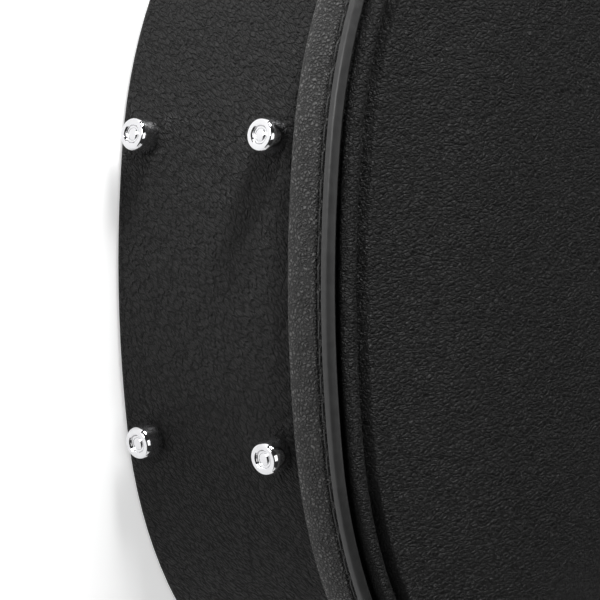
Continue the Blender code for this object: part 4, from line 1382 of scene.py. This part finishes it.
@dataclass
class CaseFeet:
    """Chrome cup feet with a domed tack in the recess of each."""

    outline: CaseOutline
    finishes: Finishes
    radius: float = 0.0079
    height: float = 0.0090
    shoulder: float = 0.0072
    face: float = 0.0063
    recess: float = 0.0038
    recess_depth: float = 0.0011
    tack: float = 0.0028
    tack_rise: float = 0.0009
    from_back: float = 0.0153
    from_rim: float = 0.0872
    tail_spacing: float = 0.0658
    side_x: Point = (-0.162, -0.557)
    sides: int = 56

    def profile(self) -> Profile:
        """Half section of a foot.

        Returns:
            (radius, height) points from its seat to the top of its tack.
        """
        r, h, floor = self.radius, self.height, self.height - self.recess_depth
        shoulder = softened(
            [(r, h * 0.16), (r, h * 0.34), (self.shoulder, h - 0.0016), (self.face, h), (self.face - 0.0012, h)],
            {1: 0.0009, 2: 0.0010, 3: 0.0006},
            steps=5,
        )
        recess = softened(
            [(self.recess + 0.0006, h), (self.recess, h - 0.0004), (self.recess - 0.0002, floor), (self.tack, floor)],
            {1: 0.0003, 2: 0.0004},
            steps=3,
        )
        rise = self.tack_rise
        dome = [(self.tack * math.cos(a), floor + rise * math.sin(a)) for a in (0.12, 0.35, 0.6, 0.85, 1.1, 1.35)]
        return [(0.0, 0.0), (r * 0.96, 0.0), (r, 0.0004), *shoulder, *recess, *dome, (0.0, floor + rise)]

    def build(self) -> None:
        """Build the eight feet, each in its node's place."""
        spots = {
            "tail_foot_right": self.outline.spot(self.tail_spacing, Side.LATCHES, across=True),
            "tail_foot_left": self.outline.spot(self.tail_spacing, Side.HINGES, across=True),
            "side_foot_lower": self.outline.spot(self.side_x[0], Side.HINGES),
            "side_foot_upper": self.outline.spot(self.side_x[1], Side.HINGES),
        }
        for row, z in (("back", self.from_back), ("rim", self.from_rim)):
            for name, (point, outward) in spots.items():
                node = f"{name}_{row}"
                bm = lathe(self.profile(), self.sides)
                bm.transform(wall_frame(point, outward, z))
                cup = finished(bm, f"{node}_cup", self.finishes.chrome, sharp=30.0)
                set_piece(cup, "base", (node,))


@dataclass
class LidEdge:
    """The lid's padded pebble band, its stitching and the smooth bead beside the panel."""

    outline: CaseOutline
    finishes: Finishes
    stitches: RepeatTree
    bottom: float = 0.1003
    proud: float = 0.0041
    belly: float = 0.0004
    edge_radius: float = 0.0017
    seam: float = 0.0024
    seam_low: float = 0.1154
    seam_high: float = 0.1186
    bead_width: float = 0.0032
    bead_height: float = 0.0061
    bead_sunk: float = 0.00015
    thread_radius: float = 0.00038
    thread_lift: float = 2.4
    stitch_length: float = 0.0095
    stitch_sides: int = 7
    stitch_steps: int = 8
    pitch: float = 0.0113
    wander: float = 0.035
    seed: int = 11

    def build(self) -> None:
        """Build band, bead, wall and stitching."""
        set_piece(self.band(), "lid", ("lid_edge_band",))
        set_piece(self.bead(), "lid", ("lid_edge_bead",))
        dress_node("lid_side_wall", self.finishes.cover)
        set_piece(self.stitching(), "lid")

    def band(self) -> Piece:
        """The band: fullest below its middle, and drawn in towards the seam that holds its upper edge.

        Returns:
            The piece.
        """
        out, r, low, bottom = -self.proud, self.edge_radius, self.seam_low, self.bottom
        profile = [
            (-FIT, bottom),
            *arc((out + r + 0.0004, bottom + r), r, 270, 190, 7),
            (out, bottom + 0.0036),
            (out - self.belly, bottom + 0.0066),
            (out - self.belly, bottom + 0.0094),
            (out, low - 0.0034),
            (out + 0.0003, low - 0.0014),
            (out + 0.0006, low - 0.0006),
            (out + 0.0011, low - 0.0001),
            (-self.seam, low),
            (-self.seam, LID_WALL_TOP),
            (-FIT, LID_WALL_TOP),
        ]
        return ring_shell(self.outline, profile, "edge_band", self.finishes.band, sharp=60.0)

    def bead(self) -> Piece:
        """The bead: a flange in the seam, a rounded outer side and a straight side beside the gap.

        Returns:
            The piece.
        """
        low, high = LID_WALL_TOP + FIT, self.seam_high
        outer = -self.proud + self.bead_sunk
        inner = outer + self.bead_width
        top = low + self.bead_height
        corners = [
            (inner, low),
            (-self.seam, low),
            (-self.seam, high),
            (outer + 0.0001, high),
            (outer, high + 0.0008),
            (outer + 0.0001, top - 0.0026),
            (outer + 0.0008, top - 0.0016),
            (inner - 0.0005, top),
            (inner, top - 0.0002),
        ]
        profile = softened(corners, {2: 0.0002, 3: 0.0002, 5: 0.0006, 6: 0.0008, 7: 0.0004, 8: 0.0002})
        return ring_shell(self.outline, profile, "edge_bead", self.finishes.bead, sharp=50.0)

    def stitching(self) -> Piece:
        """Stitches that lie in the groove all round.

        Returns:
            The piece.
        """
        place = -self.seam - self.thread_radius * self.thread_lift
        z = (self.seam_low + self.seam_high) / 2
        path = [Vector((p.x, p.y, z)) for p in self.outline.loop(place)]
        length = sum((b - a).length for a, b in zip(path, path[1:] + path[:1]))
        shape = self.stitch()
        values = {"Count": round(length / self.pitch), "Wander": self.wander, "Seed": self.seed}
        values |= {"Shape": shape, "Finish": self.finishes.thread}
        obj = self.stitches.apply(path_object(path, "edge_stitches"), values)
        bpy.data.objects.remove(shape)
        return obj

    def stitch(self) -> Piece:
        """One stitch along X: its ends dive into the band, whose inside is at +Y.

        Returns:
            The shape.
        """
        bm = bmesh.new()
        angles = [2 * math.pi * i / self.stitch_sides for i in range(self.stitch_sides)]
        rings = []
        for k in range(self.stitch_steps + 1):
            t = -1 + 2 * k / self.stitch_steps
            sink = 0.0016 * max(0.0, abs(t) - 0.80) / 0.20
            radius = self.thread_radius * (1.0 - 0.35 * abs(t) ** 6)
            x = t * self.stitch_length / 2
            rings.append([bm.verts.new((x, sink + radius * math.cos(a), radius * 1.1 * math.sin(a))) for a in angles])
        for a, b in zip(rings, rings[1:]):
            bridge(bm, a, b)
        bm.faces.new(rings[0])
        bm.faces.new(rings[-1])
        return pattern_shape(bm, "stitch")


@dataclass
class LidPanel:
    """Arched lid panel: rolled edge, groove, crisp step, sloping border, soft crease and crown."""

    outline: CaseOutline
    finishes: Finishes
    edge_inset: float = 0.0005
    frame_width: float = 0.0125
    roll_radius: float = 0.006
    roll_rise: float = 0.0037
    roll_end: float = 12.0
    tuck_radius: float = 0.0035
    tuck_turn: float = 85.0
    flange: float = 0.0012
    step_inset: float = 0.0145
    step_rise: float = 0.0113
    step_land: float = 0.0008
    crease_inset: float = 0.067
    crease_rise: float = 0.0235
    crease_half: float = 0.013
    thickness: float = 0.0045
    longest: float = 0.008
    columns: int = 36
    crown: Crown = Crown()

    def underside(self, inset: float) -> float:
        """Height of the panel's underside on the border."""
        slope = (self.crease_rise - self.step_rise) / (self.crease_inset - self.step_inset)
        return LID_WALL_TOP + self.step_rise + (inset - self.step_inset) * slope - self.thickness

    def build(self) -> None:
        """Build the panel."""
        seat, soft = LID_WALL_TOP + FIT, self.crease_half
        centre = (self.edge_inset + self.roll_radius, LID_WALL_TOP + self.roll_rise)
        shift, turn = self.roll_radius - self.tuck_radius, math.radians(self.tuck_turn)
        tucked = (centre[0] + shift * math.cos(turn), centre[1] + shift * math.sin(turn))
        tuck = arc(tucked, self.tuck_radius, 250, self.tuck_turn, 14)
        roll = [*tuck, *arc(centre, self.roll_radius, self.tuck_turn, self.roll_end, 9)[1:]]
        foot = (roll[-1][0] + 0.0007, roll[-1][1] - 0.0003)
        step = (self.step_inset, LID_WALL_TOP + self.step_rise)
        crease = (self.crease_inset, LID_WALL_TOP + self.crease_rise)
        level = (self.crease_inset + soft, crease[1] + self.crown.height(soft))
        corners = [roll[-1], foot, step, crease, level]
        border = softened(corners, {1: 0.0004, 2: 0.0010, 3: soft * 0.98}, steps=7)[1:]
        profile = [
            (self.crease_inset, self.underside(self.crease_inset)),
            (self.step_inset + self.step_land, self.underside(self.step_inset + self.step_land)),
            (self.edge_inset + self.frame_width, seat),
            (self.edge_inset, seat),
            (self.edge_inset, seat + self.flange),
            (tuck[0][0] - 0.0002, seat + self.flange),
            *roll,
            *subdivided(border, self.longest),
        ]
        crowns = (self.crown, replace(self.crown, start=soft))
        finish = self.finishes.panel_cover
        obj = plate_shell(self.outline, profile, "lid_arched_cover", finish, self.columns, crowns)
        set_piece(obj, "lid", ("lid_top_panel",))


@dataclass
class BaseLining:
    """Padded inside of the base: floor, side, neck rest and the pocket's walls."""

    outline: CaseOutline
    finishes: Finishes
    pad_inner: float = 0.0203
    floor_low: float = 0.0053
    floor_top: float = 0.0233
    floor_valley: float = 0.0022
    side_low: float = 0.0236
    side_top: float = 0.0970
    lip_low: float = 0.0600
    lip_thickness: float = 0.0025
    columns: int = 24
    voxel: float = 0.0022
    ripple: float = 0.0004
    ripple_scale: float = 60.0
    blocks: tuple = ("neck_rest", "pocket_wall_neck_side", "pocket_wall_head_side")
    strips: tuple = (
        "side_pad_tail",
        "side_pad_lower_hinge_side",
        "side_pad_lower_handle_side",
        "side_pad_upper_hinge_side",
        "side_pad_upper_handle_side",
        "side_pad_head",
    )

    def build(self) -> None:
        """Build the pads."""
        set_piece(self.floor(), "base", ("base_floor_pad",))
        set_piece(self.side(), "base", self.strips)
        for node in self.blocks:
            set_piece(self.block(node), "base", (node,))

    def floor(self) -> Piece:
        """Floor pad, crowned between the side pads.

        Returns:
            The piece.
        """
        valley = self.floor_top - self.floor_valley
        profile = [
            (LINER_INSET, self.floor_low),
            (LINER_INSET, self.floor_top - 0.0002),
            (self.pad_inner - 0.003, self.floor_top - 0.0002),
            (self.pad_inner, valley),
            (self.pad_inner + 0.005, valley + 0.0010),
            (self.pad_inner + 0.012, valley + 0.0018),
            (self.pad_inner + 0.024, self.floor_top - 0.0001),
        ]
        return plate_shell(self.outline, profile, "floor_lining", self.finishes.plush, self.columns)

    def side(self) -> Piece:
        """Side pad with a full top edge and a slightly crowned face.

        Returns:
            The piece.
        """
        behind = LINER_INSET + self.lip_thickness + FIT
        step = self.lip_low - FIT
        face, low, top = self.pad_inner, self.side_low, self.side_top
        profile = [
            (face - 0.0030, low),
            (LINER_INSET, low),
            (LINER_INSET, step),
            (behind, step),
            (behind, top - 0.0012),
            *arc((behind + 0.0050, top - 0.0050), 0.0050, 150, 90, 4),
            *arc((face - 0.0058, top - 0.0060), 0.0058, 80, 0, 6),
            (face, (low + top) / 2),
            (face - 0.0006, low + 0.006),
        ]
        return ring_shell(self.outline, profile, "side_lining", self.finishes.plush, sharp=60.0)

    def block(self, node: str) -> Piece:
        """A foam block: its CAD shape drawn in at the edges and covered with plush.

        Args:
            node: Name of the node.

        Returns:
            The piece.
        """
        obj = node_copy(node, f"{node}_padding", self.finishes.plush)
        modify(obj, "REMESH", mode="VOXEL", voxel_size=self.voxel)
        frozen(obj)
        modify(obj, "SMOOTH", factor=0.6, iterations=8)
        frozen(obj)
        low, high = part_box(node)
        for vertex in obj.data.vertices:
            push = noise.noise(vertex.co * self.ripple_scale) * self.ripple
            vertex.co = Vector([min(max(c + push, lo), hi) for c, lo, hi in zip(vertex.co, low, high)])
        dress(obj, self.finishes.plush)
        obj.data.shade_smooth()
        return obj


@dataclass
class LidLining:
    """Padding under the arched panel."""

    outline: CaseOutline
    finishes: Finishes
    panel: LidPanel
    thickness: float = 0.015
    below: float = 0.007
    longest: float = 0.012
    columns: int = 24

    def build(self) -> None:
        """Build the lid pad with its rounded lower edge."""
        panel = self.panel
        edge = panel.edge_inset + panel.frame_width
        under = panel.step_inset + panel.step_land
        bottom = LID_WALL_TOP - self.below
        crease = panel.crease_inset
        lower = panel.underside(crease) - FIT - self.thickness
        inner, outer = (under + self.thickness, bottom), (LINER_INSET, bottom)
        corners = [(crease, lower), inner, outer, (LINER_INSET, LID_WALL_TOP)]
        profile = [
            *subdivided(softened(corners, {1: 0.006, 2: 0.0035}, steps=5), self.longest),
            (edge + FIT * 2, LID_WALL_TOP),
            (under + FIT * 2, panel.underside(under) - FIT * 2),
            (crease, panel.underside(crease) - FIT * 2),
        ]
        crowns = (panel.crown, panel.crown)
        obj = plate_shell(self.outline, profile, "lid_lining", self.finishes.plush, self.columns, crowns)
        set_piece(obj, "lid", ("lid_pad",))


@dataclass
class Fittings:
    """Hinges, latches, lock and the handle's metal: CAD shapes with rounded edges and rivets.

    rows lists the rivets: node, body, side, and shares of the node's length and height.
    """

    outline: CaseOutline
    finishes: Finishes
    rivets: RepeatTree
    heads: FastenerSet = field(default_factory=FastenerSet)
    bevel: float = 0.0002
    plate: float = 0.0018
    metal: tuple = ("hinge_", "latch_", "lock_", "handle_bracket", "handle_loop")
    latches: tuple = (1, 2, 3, 4)
    hinges: tuple = ("lower", "upper")
    rows: tuple = (
        ("latch_{}_plate", "base", Side.LATCHES, ((0.10, 0.10), (0.90, 0.10), (0.08, 0.88), (0.92, 0.88))),
        ("latch_{}_keeper", "lid", Side.LATCHES, ((0.14, 0.78), (0.86, 0.78))),
        ("hinge_{}_base_leaf", "base", Side.HINGES, ((0.16, 0.28), (0.5, 0.28), (0.84, 0.28))),
        ("hinge_{}_lid_leaf", "lid", Side.HINGES, ((0.16, 0.80), (0.5, 0.80), (0.84, 0.80))),
    )

    def build(self) -> None:
        """Dress the metal and set its rivets."""
        for node in sorted(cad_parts):
            if node.startswith(self.metal):
                dress_node(node, self.finishes.chrome, self.bevel)
        for name, body, side, shares in self.rows:
            for which in self.latches if side is Side.LATCHES else self.hinges:
                self.rivet_row(name.format(which), body, side, shares)
        self.heads.build("rivets", self.rivets, self.finishes.chrome)

    def rivet_row(self, node: str, body: str, side: Side, shares: tuple[Point, ...]) -> None:
        """Rivets on a flat fitting.

        Args:
            node: Name of the fitting's node.
            body: Body that it rides on.
            side: Long side that it is on.
            shares: Place of each rivet, as shares of the fitting's length and height.
        """
        low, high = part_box(node)
        place = wall_frame(*self.outline.spot(((low + high) / 2).x - self.outline.shift.x, side))
        inverse = place.inverted()
        corners = [inverse @ vertex.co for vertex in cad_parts[node].data.vertices]
        least, most = Vector(map(min, zip(*corners))), Vector(map(max, zip(*corners)))
        front = max(c.y for c in corners if c.y < least.y + self.plate)
        for u, v in shares:
            spot = Vector((least.x + (most.x - least.x) * u, front, least.z + (most.z - least.z) * v))
            self.heads.add(body, place @ spot, place.to_3x3() @ Vector((0.0, 1.0, 0.0)))


@dataclass
class Handle:
    """The carrying handle's grip."""

    finishes: Finishes
    levels: int = 2

    def build(self) -> None:
        """Cover the grip."""
        obj = node_copy("handle_grip", "handle_cover", self.finishes.grip)
        modify(obj, "SUBSURF", levels=self.levels, render_levels=self.levels)
        set_piece(obj, "handle", ("handle_grip",))


# ---- Studio


@dataclass(frozen=True)
class SoftBox:
    """One square area light."""

    name: str
    place: tuple
    size: float
    power: float

    def build(self, aim: Vector) -> None:
        """Set the light.

        Args:
            aim: Point that it faces.
        """
        data = bpy.data.lights.new(self.name, "AREA")
        data.shape = "SQUARE"
        data.size = self.size
        data.energy = self.power
        lamp = linked(self.name, data)
        lamp.location = self.place
        lamp.rotation_mode = "QUATERNION"
        lamp.rotation_quaternion = (aim - Vector(self.place)).to_track_quat("-Z", "Y")


@dataclass
class Studio:
    """Pale floor, soft lights and the camera at the photograph's viewing angle.

    The boxes are the key on the latch side, one low at the tail, one behind, one over it and a card.
    """

    outline: CaseOutline
    finishes: Finishes
    floor_radius: float = 7.0
    floor_sides: int = 96
    world_level: float = 0.03
    aim: tuple = (0.45, 0.0, 0.08)
    boxes: tuple = (
        SoftBox("key_box", (0.60, -2.40, 1.00), 0.8, 86.0),
        SoftBox("low_box", (2.60, -0.90, 0.35), 0.9, 25.0),
        SoftBox("back_box", (-1.20, -1.60, 1.60), 0.9, 16.0),
        SoftBox("top_box", (0.90, 0.10, 2.20), 1.3, 9.0),
        SoftBox("side_card", (0.80, 1.90, 0.45), 1.3, 4.0),
    )
    elevation: float = math.radians(39.479)
    azimuth: float = math.radians(-6.690)
    roll: float = math.radians(3.701)
    distance: float = 1.0057
    target: tuple = (-0.05366, 0.00652, 0.060)
    lens: float = 137.84
    sensor: float = 36.0
    clip: tuple = (0.05, 50.0)

    def build(self) -> None:
        """Build floor, world, lights and camera."""
        self.floor()
        self.world()
        for box in self.boxes:
            box.build(Vector(self.aim))
        self.camera()

    def floor(self) -> None:
        """Large pale floor under the case."""
        bm = bmesh.new()
        bmesh.ops.create_circle(bm, cap_ends=True, segments=self.floor_sides, radius=self.floor_radius)
        mesh = mesh_of(bm, "studio_floor")
        mesh.materials.append(self.finishes.floor)
        obj = linked("studio_floor", mesh)

    def world(self) -> None:
        """Even pale surroundings."""
        world = bpy.data.worlds.new("studio_world")
        world.use_nodes = True
        background = world.node_tree.nodes["Background"]
        background.inputs[0].default_value = WHITE
        background.inputs[1].default_value = self.world_level
        bpy.context.scene.world = world
        bpy.context.scene.view_settings.view_transform = "Standard"

    def camera(self) -> None:
        """Camera whose picture stands on its side: the lid is to the right, the latches above."""
        e, a = self.elevation, self.azimuth
        back = Vector((math.cos(e) * math.cos(a), math.cos(e) * math.sin(a), math.sin(e)))
        level = (-back).cross(Vector((0.0, 0.0, 1.0))).normalized()
        right, up = level.cross(-back), -level
        c, s = math.cos(self.roll), math.sin(self.roll)
        x_axis, y_axis = right * c + up * s, up * c - right * s
        target = Vector([a + b for a, b in zip(self.target, self.outline.shift.to_3d())])
        data = bpy.data.cameras.new("photo_camera")
        data.sensor_width = self.sensor
        data.lens = self.lens
        data.clip_start, data.clip_end = self.clip
        obj = linked("photo_camera", data)
        axes = Matrix((x_axis, y_axis, back)).transposed().to_4x4()
        obj.matrix_world = Matrix.Translation(target + back * self.distance) @ axes
        bpy.context.scene.camera = obj


def main() -> None:
    """Build the studio and every sub-assembly."""
    logging.basicConfig(level=logging.INFO, format="%(name)s: %(message)s")
    outline = CaseOutline()
    finishes = Finishes()
    Studio(outline, finishes).build()
    BaseShell(outline, finishes).build()
    CaseFeet(outline, finishes).build()
    LidEdge(outline, finishes, stitch_tree()).build()
    panel = LidPanel(outline, finishes)
    panel.build()
    BaseLining(outline, finishes).build()
    LidLining(outline, finishes, panel).build()
    Fittings(outline, finishes, rivet_tree()).build()
    Handle(finishes).build()


if __name__ == "__main__":
    main()
